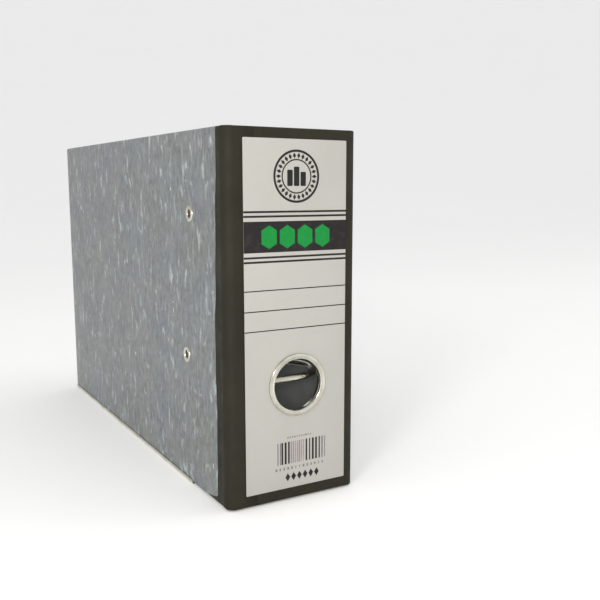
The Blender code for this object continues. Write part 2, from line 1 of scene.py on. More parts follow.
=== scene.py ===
# %% [markdown]
# # A lever arch file, upright and closed
#
# The file is three stiff boards, hinged by cloth, with a steel arch mechanism riveted to one of them.
# The hard facts (sizes, places, joints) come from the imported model, the frame. This script adds what
# makes it look real: paper that turns round the edges of the boards, cloth that bends at the folds,
# rolled metal edges, print, and materials that are worked out by nodes.

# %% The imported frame
from math import cos, pi, radians, sin

import bmesh
import bpy
from mathutils import Matrix, Vector


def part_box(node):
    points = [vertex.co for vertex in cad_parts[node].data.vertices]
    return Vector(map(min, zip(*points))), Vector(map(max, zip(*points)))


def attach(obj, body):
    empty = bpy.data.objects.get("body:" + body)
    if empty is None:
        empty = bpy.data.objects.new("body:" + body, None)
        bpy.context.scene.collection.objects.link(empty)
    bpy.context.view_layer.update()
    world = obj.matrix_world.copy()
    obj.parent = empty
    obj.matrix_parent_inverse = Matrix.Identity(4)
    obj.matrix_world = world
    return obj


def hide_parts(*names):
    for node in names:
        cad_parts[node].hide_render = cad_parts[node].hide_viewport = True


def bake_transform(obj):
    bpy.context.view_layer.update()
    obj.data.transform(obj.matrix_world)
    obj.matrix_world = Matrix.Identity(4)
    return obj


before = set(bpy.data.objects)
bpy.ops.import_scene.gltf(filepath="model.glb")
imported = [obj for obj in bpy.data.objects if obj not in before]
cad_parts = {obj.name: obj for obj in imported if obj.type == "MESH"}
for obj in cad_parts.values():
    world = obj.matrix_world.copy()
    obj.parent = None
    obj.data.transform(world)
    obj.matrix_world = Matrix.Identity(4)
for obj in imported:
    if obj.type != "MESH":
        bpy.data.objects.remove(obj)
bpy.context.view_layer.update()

# %% [markdown]
# ## Places read from the frame
#
# Nothing is measured twice. The faces of the case, the axes of the posts, the bow and the lever are all
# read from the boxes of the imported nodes, so the fine pieces land on the plain ones.

# %% Places
MM = 0.001
cloth_low, cloth_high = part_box("spine_cloth")
HALF, SPINE_Y = cloth_high.x, cloth_low.y
FOOT, TOP = cloth_low.z, cloth_high.z
FORE_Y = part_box("back_cover_paper")[1].y
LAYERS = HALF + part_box("back_lining")[1].x
FOLD_RADIUS = 5.6 * MM
BOARD_INSET = 6.0 * MM


def middle_of(node):
    low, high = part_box(node)
    return (low + high) / 2


ring_middle = middle_of("thumb_ring_outer")
posts = [middle_of("post_lower"), middle_of("post_upper")]
rivets = [middle_of("rivet_lower"), middle_of("rivet_upper")]
width, depth, height = ((2 * HALF) / MM, (FORE_Y - SPINE_Y) / MM, (TOP - FOOT) / MM)
print(f"case {width:.1f} wide, {depth:.1f} deep, {height:.1f} tall, in mm")

# %% [markdown]
# ## The camera
#
# The camera stands a little above the file, to the left of its spine, so the spine and the long back
# cover are both in view. Its shift puts the middle of the picture where the object is.


# %% Camera
def add_camera():
    data = bpy.data.cameras.new("camera")
    data.lens = 47.05
    data.sensor_width = 36.0
    data.shift_x, data.shift_y = -0.0307, 0.0163
    data.clip_start, data.clip_end = 0.01, 30.0
    camera = bpy.data.objects.new("camera", data)
    heading, pitch, roll = radians(31.22), radians(8.98), radians(0.178)
    forward = Vector((sin(heading) * cos(pitch), cos(heading) * cos(pitch), -sin(pitch)))
    turn = forward.to_track_quat("-Z", "Y").to_matrix() @ Matrix.Rotation(roll, 3, "Z")
    camera.matrix_world = Matrix.Translation((-0.2002, -0.5068, 0.1691)) @ turn.to_4x4()
    bpy.context.scene.collection.objects.link(camera)
    bpy.context.scene.camera = camera
    return camera


camera = add_camera()
print("camera at", [round(c, 3) for c in camera.location])

# %% [markdown]
# ## The light
#
# The room is white and bright all round. One panel stands on the left, one on the right, and a small
# one near the camera reaches through the thumb hole and lights the wire and the lining behind it.


# %% Light
def add_panel(name, place, aim, size, power, colour):
    """A large soft light that faces the object."""
    data = bpy.data.lights.new(name, "AREA")
    data.shape = "RECTANGLE"
    data.size, data.size_y = size
    data.energy = power
    data.color = colour
    lamp = bpy.data.objects.new(name, data)
    direction = Vector(aim) - Vector(place)
    turn = direction.to_track_quat("-Z", "Y").to_matrix().to_4x4()
    lamp.matrix_world = Matrix.Translation(place) @ turn
    lamp.visible_camera = False
    bpy.context.scene.collection.objects.link(lamp)


object_middle = (0, 0, (FOOT + TOP) / 2)
add_panel("left_panel", (-1.05, -0.95, 0.7), object_middle, (0.3, 0.25), 6, (1.0, 0.98, 0.93))
add_panel("flash_panel", (-0.345, -0.756, 0.247), (0, -0.1, 0.06), (0.12, 0.10), 2.4, (1.0, 0.98, 0.93))
add_panel("right_panel", (1.5, -0.5, 0.9), object_middle, (0.8, 0.8), 3, (1.0, 0.98, 0.95))

world = bpy.data.worlds.new("studio")
bpy.context.scene.world = world
world.use_nodes = True
world.node_tree.nodes["Background"].inputs["Color"].default_value = (1.0, 1.0, 1.0, 1.0)
world.node_tree.nodes["Background"].inputs["Strength"].default_value = 0.86
bpy.context.scene.view_settings.view_transform = "Standard"

# %% [markdown]
# ## A small kit for materials
#
# A material is a tree of nodes. `add` makes one node and fills its sockets, with a value or with a wire
# from another node, so that each finish below reads as a short list of steps. All patterns stand on
# Object coordinates, in metres, or on the cloth's own UV map, which is in metres too.


# %% Material kit
def new_finish(name, roughness, metallic=0.0, **sockets):
    """A material with one Principled shader. Values that are the same all over are set on the shader."""
    material = bpy.data.materials.new(name)
    material.use_nodes = True
    tree = material.node_tree
    shader = tree.nodes["Principled BSDF"]
    shader.inputs["Roughness"].default_value = roughness
    shader.inputs["Metallic"].default_value = metallic
    for key, value in sockets.items():
        shader.inputs[key.replace("_", " ")].default_value = value
    return material, tree, shader


def add(tree, kind, inputs=None, **settings):
    """Adds a node. Inputs are values or output sockets, by name or by index."""
    made = tree.nodes.new("ShaderNode" + kind)
    for key, value in settings.items():
        setattr(made, key, value)
    for key, value in (inputs or {}).items():
        if isinstance(value, bpy.types.NodeSocket):
            tree.links.new(value, made.inputs[key])
        else:
            made.inputs[key].default_value = value
    return made


def object_space(tree, scale=(1, 1, 1), shift=(0, 0, 0)):
    place = add(tree, "TexCoord").outputs["Object"]
    return add(tree, "Mapping", {"Vector": place, "Scale": scale, "Location": shift}).outputs["Vector"]


def noise(tree, vector, scale, detail=4.0, rough=0.5, warp=0.0):
    values = {"Vector": vector, "Scale": scale, "Detail": detail, "Roughness": rough, "Distortion": warp}
    return add(tree, "TexNoise", values).outputs["Fac"]


def ramp(tree, value, low, high, to_low=0.0, to_high=1.0):
    """Stretches a value between two limits, with soft ends."""
    values = {"Value": value, "From Min": low, "From Max": high, "To Min": to_low, "To Max": to_high}
    return add(tree, "MapRange", values, interpolation_type="SMOOTHSTEP").outputs["Result"]


def mix(tree, factor, first, second):
    """Mixes two colours, each an RGB triple or a socket."""
    made = tree.nodes.new("ShaderNodeMix")
    made.data_type = "RGBA"
    sockets = [made.inputs[0], made.inputs[6], made.inputs[7]]
    for socket, value in zip(sockets, (factor, first, second)):
        if isinstance(value, bpy.types.NodeSocket):
            tree.links.new(value, socket)
        elif socket is sockets[0]:
            socket.default_value = value
        else:
            socket.default_value = (*value, 1.0)
    return made.outputs[2]


def math(tree, operation, first, second=0.0):
    return add(tree, "Math", {0: first, 1: second}, operation=operation).outputs[0]


def relief(tree, shader, height, distance, strength=1.0):
    bump = add(tree, "Bump", {"Height": height, "Distance": distance, "Strength": strength})
    tree.links.new(bump.outputs["Normal"], shader.inputs["Normal"])


# %% [markdown]
# ## Cloud paper
#
# The covers are wrapped in varnished cloud paper: a grey ground with soft light streaks that all run
# upwards, a few bright flecks where the pattern clots, and a few dark specks. The streaks are noise
# squeezed in height, so each one is a few millimetres wide and several times as tall. The varnish is a
# clear coat.


# %% Cloud paper
def cloud_paper():
    material, tree, shader = new_finish("cloud_paper", 0.5, Coat_Weight=0.3, Coat_Roughness=0.35)
    space = object_space(tree)
    tall = object_space(tree, (1.0, 1.0, 0.38))
    ground = ramp(tree, noise(tree, space, 30.0, 3.0), 0.3, 0.7)
    colour = mix(tree, ground, (0.089, 0.099, 0.086), (0.099, 0.109, 0.124))
    grain = ramp(tree, noise(tree, tall, 520.0, 5.0, 0.7), 0.36, 0.66)
    colour = mix(tree, math(tree, "MULTIPLY", grain, 0.6), colour, (0.19, 0.21, 0.217))
    patches = ramp(tree, noise(tree, space, 85.0, 2.0), 0.35, 0.65, 0.15, 1.0)
    streaks = ramp(tree, noise(tree, tall, 230.0, 4.0, 0.68, 0.5), 0.51, 0.68)
    colour = mix(tree, math(tree, "MULTIPLY", streaks, patches), colour, (0.36, 0.395, 0.405))
    other = object_space(tree, (1.0, 1.0, 0.5), (0.3, 0.1, 0.7))
    shade = ramp(tree, noise(tree, other, 380.0, 3.0, 0.55, 0.3), 0.56, 0.70, 0.0, 0.7)
    colour = mix(tree, shade, colour, (0.045, 0.048, 0.040))
    clots = ramp(tree, noise(tree, other, 230.0, 2.0, 0.5, 0.8), 0.715, 0.775)
    colour = mix(tree, clots, colour, (0.62, 0.65, 0.66))
    tree.links.new(colour, shader.inputs["Base Color"])
    gloss = ramp(tree, noise(tree, space, 60.0, 3.0), 0.3, 0.7, 0.42, 0.56)
    tree.links.new(gloss, shader.inputs["Roughness"])
    relief(tree, shader, noise(tree, space, 900.0, 3.0), 0.00004, 0.35)
    return material


# %% [markdown]
# ## Book cloth
#
# The spine is a nearly black, brown-olive book cloth. Its weave is two sets of threads at right angles,
# read from the UV map that each cloth piece carries, so that the threads go round the folds with the
# sheet. Where the cloth is rubbed it is a little paler.


# %% Book cloth
def book_cloth():
    material, tree, shader = new_finish("book_cloth", 0.66, Specular_IOR_Level=0.18)
    thread = 0.00052
    split = add(tree, "SeparateXYZ", {"Vector": add(tree, "UVMap", uv_map="cloth").outputs["UV"]})
    waves = []
    for axis in ("X", "Y"):
        turns = math(tree, "MULTIPLY", split.outputs[axis], 2 * pi / thread)
        waves.append(math(tree, "SINE", turns))
    weave = math(tree, "MULTIPLY", waves[0], waves[1])
    space = object_space(tree)
    blotches = ramp(tree, noise(tree, space, 26.0, 3.0), 0.3, 0.7)
    colour = mix(tree, blotches, (0.013, 0.0115, 0.0065), (0.018, 0.0165, 0.009))
    threads = ramp(tree, weave, -1.0, 1.0, 0.0, 0.35)
    colour = mix(tree, threads, colour, (0.028, 0.025, 0.015))
    rubs = ramp(tree, noise(tree, space, 420.0, 4.0, 0.7), 0.70, 0.80, 0.0, 0.5)
    colour = mix(tree, rubs, colour, (0.16, 0.155, 0.13))
    tree.links.new(colour, shader.inputs["Base Color"])
    tree.links.new(ramp(tree, noise(tree, space, 90.0), 0.3, 0.7, 0.54, 0.70), shader.inputs["Roughness"])
    relief(tree, shader, weave, 0.00005, 0.4)
    return material


# %% [markdown]
# ## Paper, board and ink
#
# The lining is a matt grey paper with short pale fibres. The boards inside are grey pulp, seen
# only at cut edges. The label is smooth off-white paper that has yellowed unevenly, and its inks are
# flat, but print a little thin in places.


# %% Paper, board and ink
def fibre_paper(name, dark, pale, scale, roughness, depth, fibre=0.5):
    """Pulp or paper: a ground in two tones, with short fibres over it."""
    material, tree, shader = new_finish(name, roughness)
    space = object_space(tree)
    ground = mix(tree, ramp(tree, noise(tree, space, scale, 5.0, 0.6), 0.3, 0.7), dark, pale)
    strands = noise(tree, object_space(tree, (1.0, 0.35, 1.0)), 9 * scale, 2.0, 0.6, 1.2)
    fibres = ramp(tree, strands, 0.62, 0.72)
    lighter = tuple(min(1.0, 1.35 * c) for c in pale)
    colour = mix(tree, math(tree, "MULTIPLY", fibres, fibre), ground, lighter)
    tree.links.new(colour, shader.inputs["Base Color"])
    rough = ramp(tree, noise(tree, space, 3 * scale), 0.3, 0.7, roughness - 0.06, roughness + 0.06)
    tree.links.new(rough, shader.inputs["Roughness"])
    relief(tree, shader, noise(tree, space, 12 * scale, 3.0), depth, 0.5)
    return material


def ink(name, colour, thin_colour, roughness=0.5):
    material, tree, shader = new_finish(name, roughness, Specular_IOR_Level=0.25)
    space = object_space(tree)
    thin = ramp(tree, noise(tree, space, 320.0, 4.0, 0.6), 0.48, 0.85)
    tree.links.new(mix(tree, thin, colour, thin_colour), shader.inputs["Base Color"])
    rough = ramp(tree, noise(tree, space, 150.0), 0.3, 0.7, roughness - 0.08, roughness + 0.08)
    tree.links.new(rough, shader.inputs["Roughness"])
    return material


# %% [markdown]
# ## Metals
#
# Three metals: bright nickel on the rings and wires, satin zinc on the stamped plate and lever, and
# darker spring steel. One function makes them all, since they differ only in colour and gloss: handling
# leaves patches of a different sheen, and drawing or polishing leaves fine lines.


# %% Metals
def metal(name, colour, dull_colour, roughness, spread, lines=(1.0, 1.0, 1.0)):
    material, tree, shader = new_finish(name, roughness, 1.0)
    space = object_space(tree)
    patches = ramp(tree, noise(tree, space, 110.0, 4.0, 0.6), 0.35, 0.72)
    tree.links.new(mix(tree, patches, colour, dull_colour), shader.inputs["Base Color"])
    fine = noise(tree, object_space(tree, lines), 1400.0, 3.0, 0.6)
    sheen = ramp(tree, patches, 0.0, 1.0, roughness - spread, roughness + spread)
    tree.links.new(sheen, shader.inputs["Roughness"])
    relief(tree, shader, fine, 0.00001, 0.25)
    return material


board_tones = (0.30, 0.28, 0.25), (0.42, 0.40, 0.36)
lining_tones = (0.215, 0.225, 0.220), (0.250, 0.260, 0.250)
label_tones = (0.350, 0.342, 0.316), (0.374, 0.366, 0.341)
nickel_tones = (0.62, 0.60, 0.53), (0.48, 0.46, 0.38)
zinc_tones = (0.66, 0.67, 0.68), (0.50, 0.51, 0.53)
steel_tones = (0.34, 0.34, 0.35), (0.22, 0.21, 0.21)
finishes = {
    "marbled_paper": cloud_paper(),
    "spine_cloth": book_cloth(),
    "greyboard": fibre_paper("greyboard", *board_tones, 60.0, 0.9, 0.0001),
    "lining_paper": fibre_paper("lining_paper", *lining_tones, 90.0, 0.72, 0.00003, 0.35),
    "label_paper": fibre_paper("label_paper", *label_tones, 14.0, 0.5, 0.00001, 0.04),
    "nickel": metal("nickel", *nickel_tones, 0.24, 0.07),
    "zinc_plate": metal("zinc_plate", *zinc_tones, 0.34, 0.08, (1.0, 0.1, 1.0)),
    "spring_steel": metal("spring_steel", *steel_tones, 0.36, 0.06),
}
black_ink = ink("black_ink", (0.010, 0.009, 0.009), (0.030, 0.028, 0.026))
grey_ink = ink("grey_ink", (0.16, 0.15, 0.16), (0.30, 0.29, 0.28))
purple_ink = ink("purple_ink", (0.24, 0.19, 0.21), (0.36, 0.31, 0.32))
green_ink = ink("green_ink", (0.002, 0.19, 0.030), (0.004, 0.24, 0.042), 0.45)
print("finishes:", sorted(finishes))

# %% [markdown]
# ## A small kit for meshes
#
# Each piece ends as a plain mesh whose object stands at the origin. Then it is given to the body that
# carries it, and the imported nodes that it stands for are hidden.


# %% Mesh kit
def show(name, bm, material, smooth_angle=40):
    """A bmesh as an object in the scene."""
    mesh = bpy.data.meshes.new(name)
    bm.to_mesh(mesh)
    bm.free()
    mesh.shade_smooth()
    mesh.set_sharp_from_angle(angle=radians(smooth_angle))
    mesh.materials.append(material)
    made = bpy.data.objects.new(name, mesh)
    bpy.context.scene.collection.objects.link(made)
    return made


def settle(piece, smooth_angle=None):
    """Turns what the modifiers or the curve show into a plain mesh, with the object at the origin."""
    bpy.context.view_layer.update()
    seen = piece.evaluated_get(bpy.context.evaluated_depsgraph_get())
    mesh = bpy.data.meshes.new_from_object(seen)
    mesh.transform(piece.matrix_world)
    name = piece.name
    bpy.data.objects.remove(piece)
    mesh.name = name
    if smooth_angle is not None:
        mesh.shade_smooth()
        mesh.set_sharp_from_angle(angle=radians(smooth_angle))
    made = bpy.data.objects.new(name, mesh)
    bpy.context.scene.collection.objects.link(made)
    return made


def thicken(piece, thickness):
    """Gives a sheet its thickness, inwards from its outer face."""
    wall = piece.modifiers.new("wall", "SOLIDIFY")
    wall.thickness = thickness
    wall.offset = -1.0
    wall.use_even_offset = True


def soften(piece, width, segments=2, angle=40):
    edge = piece.modifiers.new("edge", "BEVEL")
    edge.width = width
    edge.segments = segments
    edge.limit_method = "ANGLE"
    edge.angle_limit = radians(angle)
    edge.harden_normals = False


def skin(bm, rings):
    """Quads from each closed ring of corners to the next one. Returns the faces."""
    faces = []
    for here, there in zip(rings, rings[1:]):
        for i in range(len(here)):
            j = (i + 1) % len(here)
            faces.append(bm.faces.new((here[i], here[j], there[j], there[i])))
    return faces


def take_in(bm, piece):
    """Takes another object's mesh into a bmesh, and the object goes."""
    bm.from_mesh(piece.data)
    bpy.data.objects.remove(piece)


def punch(piece, holes):
    """Round holes through a piece. Each hole is a middle, a radius, an axis and a half length."""
    for index, (middle, radius, axis, half) in enumerate(holes):
        bm = bmesh.new()
        along = Vector((0, 0, 0))
        along[axis] = 1.0
        turn = Matrix.Translation(middle) @ along.to_track_quat("Z", "Y").to_matrix().to_4x4()
        bmesh.ops.create_cone(
            bm, cap_ends=True, segments=64, radius1=radius, radius2=radius, depth=2 * half, matrix=turn
        )
        cutter = show(f"punch_{piece.name}_{index}", bm, piece.data.materials[0])
        cut = piece.modifiers.new("punch", "BOOLEAN")
        cut.operation = "DIFFERENCE"
        cut.solver = "EXACT"
        cut.object = cutter
        piece = settle(piece, 40)
        bpy.data.objects.remove(cutter)
    return piece


def mount(piece, body, slot, *nodes):
    """Gives a piece to the body that carries it."""
    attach(piece, body)
    if nodes:
        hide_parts(*nodes)
    print(f"{piece.name}: {len(piece.data.polygons)} faces on {body}")
    return piece


# %% [markdown]
# ## Where the case runs
#
# The cloth and the lining follow one line: from the middle of the spine, round the fold, and back along
# a cover. `case_point` turns a distance along that line, a depth below the outer face and a height into
# a point in space. At the fold there is no board between the cloth and the lining, so there they come
# close together.


# %% The line round the case
SPINE_FLAT = HALF - FOLD_RADIUS
FOLD_TURN = FOLD_RADIUS * pi / 2
COVER_START = SPINE_FLAT + FOLD_TURN


def smooth(value):
    value = min(max(value, 0.0), 1.0)
    return value * value * (3 - 2 * value)


def case_point(side, along, depth, z):
    """Side is -1 towards the back cover and 1 towards the front cover."""
    if along <= SPINE_FLAT:
        place, inward = Vector((along, SPINE_Y)), Vector((0, 1))
    elif along < COVER_START:
        angle = (along - SPINE_FLAT) / FOLD_RADIUS
        bend = Vector((sin(angle), 1 - cos(angle))) * FOLD_RADIUS
        place, inward = Vector((SPINE_FLAT, SPINE_Y)) + bend, Vector((-sin(angle), cos(angle)))
    else:
        place, inward = Vector((HALF, SPINE_Y + FOLD_RADIUS + along - COVER_START)), Vector((-1, 0))
    x, y = place + inward * depth
    return Vector((side * x, y, z))


def joint_share(along):
    """1 in the middle of a fold, and 0 where the boards begin."""
    blend_length = 2.6 * MM
    spine_end = HALF - BOARD_INSET
    cover_end = COVER_START + BOARD_INSET - FOLD_RADIUS
    return smooth((along - spine_end) / blend_length) * smooth((cover_end - along) / blend_length)


def stations(start, end, coarse=7.0 * MM, fine=0.5 * MM):
    """Distances along the line, close together where it bends."""
    marks = (start, SPINE_FLAT - 1.5 * MM, COVER_START + 4 * MM, end)
    found = [start]
    for low, high, step in zip(marks, marks[1:], (coarse, fine, coarse)):
        count = max(1, round((high - low) / step))
        found += [low + (high - low) * i / count for i in range(1, count + 1)]
    return found


print(f"the fold is {FOLD_TURN / MM:.2f} mm of cloth")

# %% [markdown]
# ## The spine cloth
#
# One sheet of cloth hinges the whole case: it covers the spine, goes round both folds, lies under the
# edge of the cloud paper on both covers, and is turned in over the head and the tail. It could be a
# plain bent plate, but the turned edges are what the eye reads as cloth over board. So the sheet is
# lofted: at each distance along the case its section goes up the outside and hooks over both ends. It
# is cut in two, behind the label.

# %% Lofted sheets
CLOTH = 0.15 * MM
CLOTH_SINK = 0.16 * MM
INNER_FACE = 2.78 * MM
JOINT_FACE = 1.30 * MM
EDGE_R = 1.2 * MM
TURN_IN = 14 * MM
SEAM_X = -22.5 * MM


def turned_section(near, far, low, high, reach, steps=5, rows=14):
    """Depth and height of a sheet that goes up the outside of a board and hooks over its two ends."""
    radius = min(EDGE_R, (far - near) / 2 * 0.98)
    section = [(far, low + reach)]
    corners = (
        ((far - radius, low + radius), 0),
        ((near + radius, low + radius), 90),
        ((near + radius, high - radius), 180),
        ((far - radius, high - radius), 270),
    )
    for index, (centre, start) in enumerate(corners):
        for i in range(steps + 1):
            angle = radians(start + 90 * i / steps)
            section.append((centre[0] + radius * cos(angle), centre[1] - radius * sin(angle)))
        if index == 1:
            first, last = low + radius, high - radius
            section += [(near, first + (last - first) * i / rows) for i in range(1, rows)]
    section.append((far, high - reach))
    return section


def loft(name, side, alongs, section_at, material):
    """A sheet through one section at each distance along the case, with a UV map in metres."""
    bm = bmesh.new()
    layer = bm.loops.layers.uv.new("cloth")
    rows = []
    for along in alongs:
        section = section_at(along)
        length, row = 0.0, []
        for i, (depth, z) in enumerate(section):
            if i:
                before = section[i - 1]
                length += ((depth - before[0]) ** 2 + (z - before[1]) ** 2) ** 0.5
            row.append((bm.verts.new(case_point(side, along, depth, z)), (along, length)))
        rows.append(row)
    for here, there in zip(rows, rows[1:]):
        for i in range(len(here) - 1):
            corners = [here[i], there[i], there[i + 1], here[i + 1]]
            if side < 0:
                corners.reverse()
            face = bm.faces.new([vertex for vertex, _ in corners])
            for loop, (_, uv) in zip(face.loops, corners):
                loop[layer].uv = uv
    return show(name, bm, material)


# %% [markdown]
# ## The two parts of the cloth
#
# The cloth turns in over the foot and the head of the boards, and ends flat under the cover papers. The
# front part has the thumb hole cut through it.


# %% The two parts of the cloth
def cloth_section(along):
    sink = CLOTH_SINK * smooth((along - COVER_START) / (3 * MM))
    far = INNER_FACE - (INNER_FACE - JOINT_FACE) * joint_share(along)
    return turned_section(sink, far - sink, FOOT + sink, TOP - sink, TURN_IN)


cloth_end = COVER_START + 36 * MM
thumb_hole = (Vector((ring_middle.x, SPINE_Y, ring_middle.z)), 14.9 * MM, 1, 6 * MM)
cloth_parts = {}
for prefix, side, start in (("back", -1, -SEAM_X), ("front", 1, SEAM_X)):
    alongs = stations(start, cloth_end)
    part = loft(f"{prefix}_cloth", side, alongs, cloth_section, finishes["spine_cloth"])
    thicken(part, CLOTH)
    part = settle(part)
    if side > 0:
        part = punch(part, [thumb_hole])
    cloth_parts[prefix] = part


# %% [markdown]
# ## The pieces at the folds
#
# The turn happens in a narrow strip across the fold, between the ends of the two boards. Each piece keeps
# the shape it was lofted in: its placement is baked into its mesh, and the imported node it stands for is
# hidden.


def bend(piece, prefix, slot, node):
    """Bakes a piece's placement into its mesh and hides the imported node that it stands for."""
    if prefix == "back":
        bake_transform(piece)
    else:
        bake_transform(piece)
    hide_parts(node)
    print(f"{piece.name}: {len(piece.data.polygons)} faces, bends at the {prefix} fold")


for prefix, part in cloth_parts.items():
    bend(part, prefix, "spine_cloth", "spine_cloth")

# %% [markdown]
# ## The lining of the spine
#
# Inside, a strip of lining paper covers the spine and both joints, and ends under the lining of each
# cover. It is lofted along the same line, a little deeper.

# %% Joint lining
LINING = 0.15 * MM
LINING_MARGIN = 3.0 * MM
lining_end = COVER_START + 8.5 * MM


def lining_section(along):
    far = INNER_FACE - (INNER_FACE - JOINT_FACE) * joint_share(along)
    depth = far + 0.26 * MM - 0.04 * MM * smooth((along - COVER_START - 4 * MM) / (2 * MM))
    low, high = FOOT + LINING_MARGIN, TOP - LINING_MARGIN
    return [(depth, high + (low - high) * i / 12) for i in range(13)]


for prefix, side, start in (("back", -1, -SEAM_X), ("front", 1, SEAM_X)):
    alongs = stations(start, lining_end)
    strip = loft(f"{prefix}_joint_lining", side, alongs, lining_section, finishes["lining_paper"])
    thicken(strip, LINING)
    strip = settle(strip)
    if side > 0:
        strip = punch(strip, [thumb_hole])
    bend(strip, prefix, "lining_paper", "spine_lining")

# %% [markdown]
# ## The cover papers
#
# The cloud paper is glued over the outside of each board and turned in over the head, the tail and the
# fore-edge. It is made from a slab with rounded edges: the middle of its inner face is taken away, and
# so is its spine side, whose cut edge then gets the slight wave of a sheet laid by hand, and its
# rounded lower corner.

# %% Cover papers
PAPER = 0.12 * MM
PAPER_FACE = 2.92 * MM
PAPER_TURN_IN = 15 * MM


def paper_edge(z):
    """Distance of the paper's cut edge from the face of the spine, at a height."""
    share = (z - FOOT) / (TOP - FOOT)
    wave = 0.35 * sin(17 * share + 0.6) + 0.25 * sin(41 * share)
    reach = 13.4 - 3.6 * smooth((share - 0.45) / 0.5) + wave
    corner = max(0.0, 1 - (z - FOOT) / (5.5 * MM))
    return (reach + 26 * corner**2.6) * MM


def cut_across(bm, place, normal):
    everything = bm.verts[:] + bm.edges[:] + bm.faces[:]
    bmesh.ops.bisect_plane(bm, geom=everything, dist=1e-7, plane_co=place, plane_no=normal)


def cover_paper(side, prefix):
    bm = bmesh.new()
    edge_y = SPINE_Y + 10 * MM
    size = (PAPER_FACE, FORE_Y - edge_y, TOP - FOOT)
    middle = (side * (HALF - PAPER_FACE / 2), (FORE_Y + edge_y) / 2, (TOP + FOOT) / 2)
    bmesh.ops.create_cube(bm, size=1.0, matrix=Matrix.Translation(middle) @ Matrix.Diagonal((*size, 1.0)))
    wrapped = [e for e in bm.edges if any(v.co.y > middle[1] for v in e.verts)]
    shape = {"offset_type": "OFFSET", "segments": 5, "profile": 0.5, "affect": "EDGES"}
    bmesh.ops.bevel(bm, geom=wrapped, offset=EDGE_R, **shape)
    heights = [FOOT + 0.5 * MM * i for i in range(1, 12)]
    heights += [FOOT + (TOP - FOOT) * i / 48 for i in range(2, 48)]
    heights += [FOOT + PAPER_TURN_IN, TOP - PAPER_TURN_IN]
    for z in heights:
        cut_across(bm, (0, 0, z), (0, 0, 1))
    cut_across(bm, (0, FORE_Y - PAPER_TURN_IN, 0), (0, 1, 0))
    inner_x = side * (HALF - PAPER_FACE)
    gone = []
    for face in bm.faces:
        at = face.calc_center_median()
        on_inner = abs(at.x - inner_x) < 1e-5
        in_frame = at.y < FORE_Y - PAPER_TURN_IN and FOOT + PAPER_TURN_IN < at.z < TOP - PAPER_TURN_IN
        if (on_inner and in_frame) or abs(at.y - edge_y) < 1e-6:
            gone.append(face)
    bmesh.ops.delete(bm, geom=gone, context="FACES")
    for vertex in bm.verts:
        if abs(vertex.co.y - edge_y) < 1e-6:
            outside = abs(vertex.co.x - inner_x) > 0.3 * MM
            vertex.co.y = SPINE_Y + (paper_edge(vertex.co.z) if outside else paper_edge(middle[2]))
    sheet = show(f"{prefix}_cloud_paper", bm, finishes["marbled_paper"])
    thicken(sheet, PAPER)
    return settle(sheet, 40)


board_holes = [(Vector((-HALF, r.y, r.z)), 2.95 * MM, 0, 6 * MM) for r in rivets]
for prefix, side in (("back", -1), ("front", 1)):
    paper = cover_paper(side, prefix)
    if side < 0:
        paper = punch(paper, board_holes)
    mount(paper, f"{prefix}_cover", "marbled_paper", f"{prefix}_cover_paper")


# %% [markdown]
# ## The cover linings
#
# Inside each cover a sheet of lining paper leaves a narrow frame of cloud paper in view. A rectangle
# with its corners slightly rounded is enough, with real thickness so that its edge catches the light.


# %% Cover linings
def rounded_rectangle(low, high, radius, steps=5):
    """Corners of a rectangle in a plane, as a loop of points."""
    loop = []
    corners = ((high[0], high[1], 0), (low[0], high[1], 90))
    corners += ((low[0], low[1], 180), (high[0], low[1], 270))
    for x, y, start in corners:
        centre = (x - radius * (1 if x == high[0] else -1), y - radius * (1 if y == high[1] else -1))
        for i in range(steps + 1):
            angle = radians(start + 90 * i / steps)
            loop.append((centre[0] + radius * cos(angle), centre[1] + radius * sin(angle)))
    return loop


def slab(bm, loop, axis, near, far):
    """A flat loop pushed from one level to another along an axis. It is added to the bmesh."""
    others = [i for i in range(3) if i != axis]
    rings = []
    for level in (near, far):
        ring = []
        for point in loop:
            place = [0.0, 0.0, 0.0]
            place[axis], place[others[0]], place[others[1]] = level, point[0], point[1]
            ring.append(bm.verts.new(place))
        rings.append(ring)
    faces = [bm.faces.new(rings[0]), bm.faces.new(rings[1][::-1])] + skin(bm, rings)
    bmesh.ops.recalc_face_normals(bm, faces=faces)


for prefix, side in (("back", -1), ("front", 1)):
    node_low, node_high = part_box(f"{prefix}_lining")
    bm = bmesh.new()
    edge = LINING_MARGIN - (node_low.z - FOOT)
    low, high = (node_low.y, node_low.z + edge), (node_high.y - edge, node_high.z - edge)
    loop = rounded_rectangle(low, high, 1.5 * MM)
    faces = (side * (HALF - LAYERS), side * (HALF - LAYERS + LINING))
    slab(bm, loop, 0, *faces)
    lining = show(f"{prefix}_cover_lining", bm, finishes["lining_paper"])
    soften(lining, 0.04 * MM, 2)
    lining = settle(lining, 40)
    if side < 0:
        lining = punch(lining, board_holes)
    mount(lining, f"{prefix}_cover", "lining_paper", f"{prefix}_lining")

for name in ("back_board", "front_board", "spine_board"):
    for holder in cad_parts[name].material_slots:
        holder.material = finishes["greyboard"]

# %% [markdown]
# ## Turned metal
#
# Rings, rivets, posts, the roller and the pins are all round, so each is one section spun about its
# axis. The section is closed, and its corners are drawn round, because a rolled edge is what tells
# sheet metal from a solid.


# %% Spinning a section
def bulge(start, end, height, steps=6):
    """Points of a low arch between two section points, bulging to the left of the way."""
    start, end = Vector(start), Vector(end)
    across = Vector((-(end - start).y, (end - start).x)).normalized()
    points = []
    for i in range(steps + 1):
        share = i / steps
        points.append(start.lerp(end, share) + across * height * sin(pi * share))
    return points


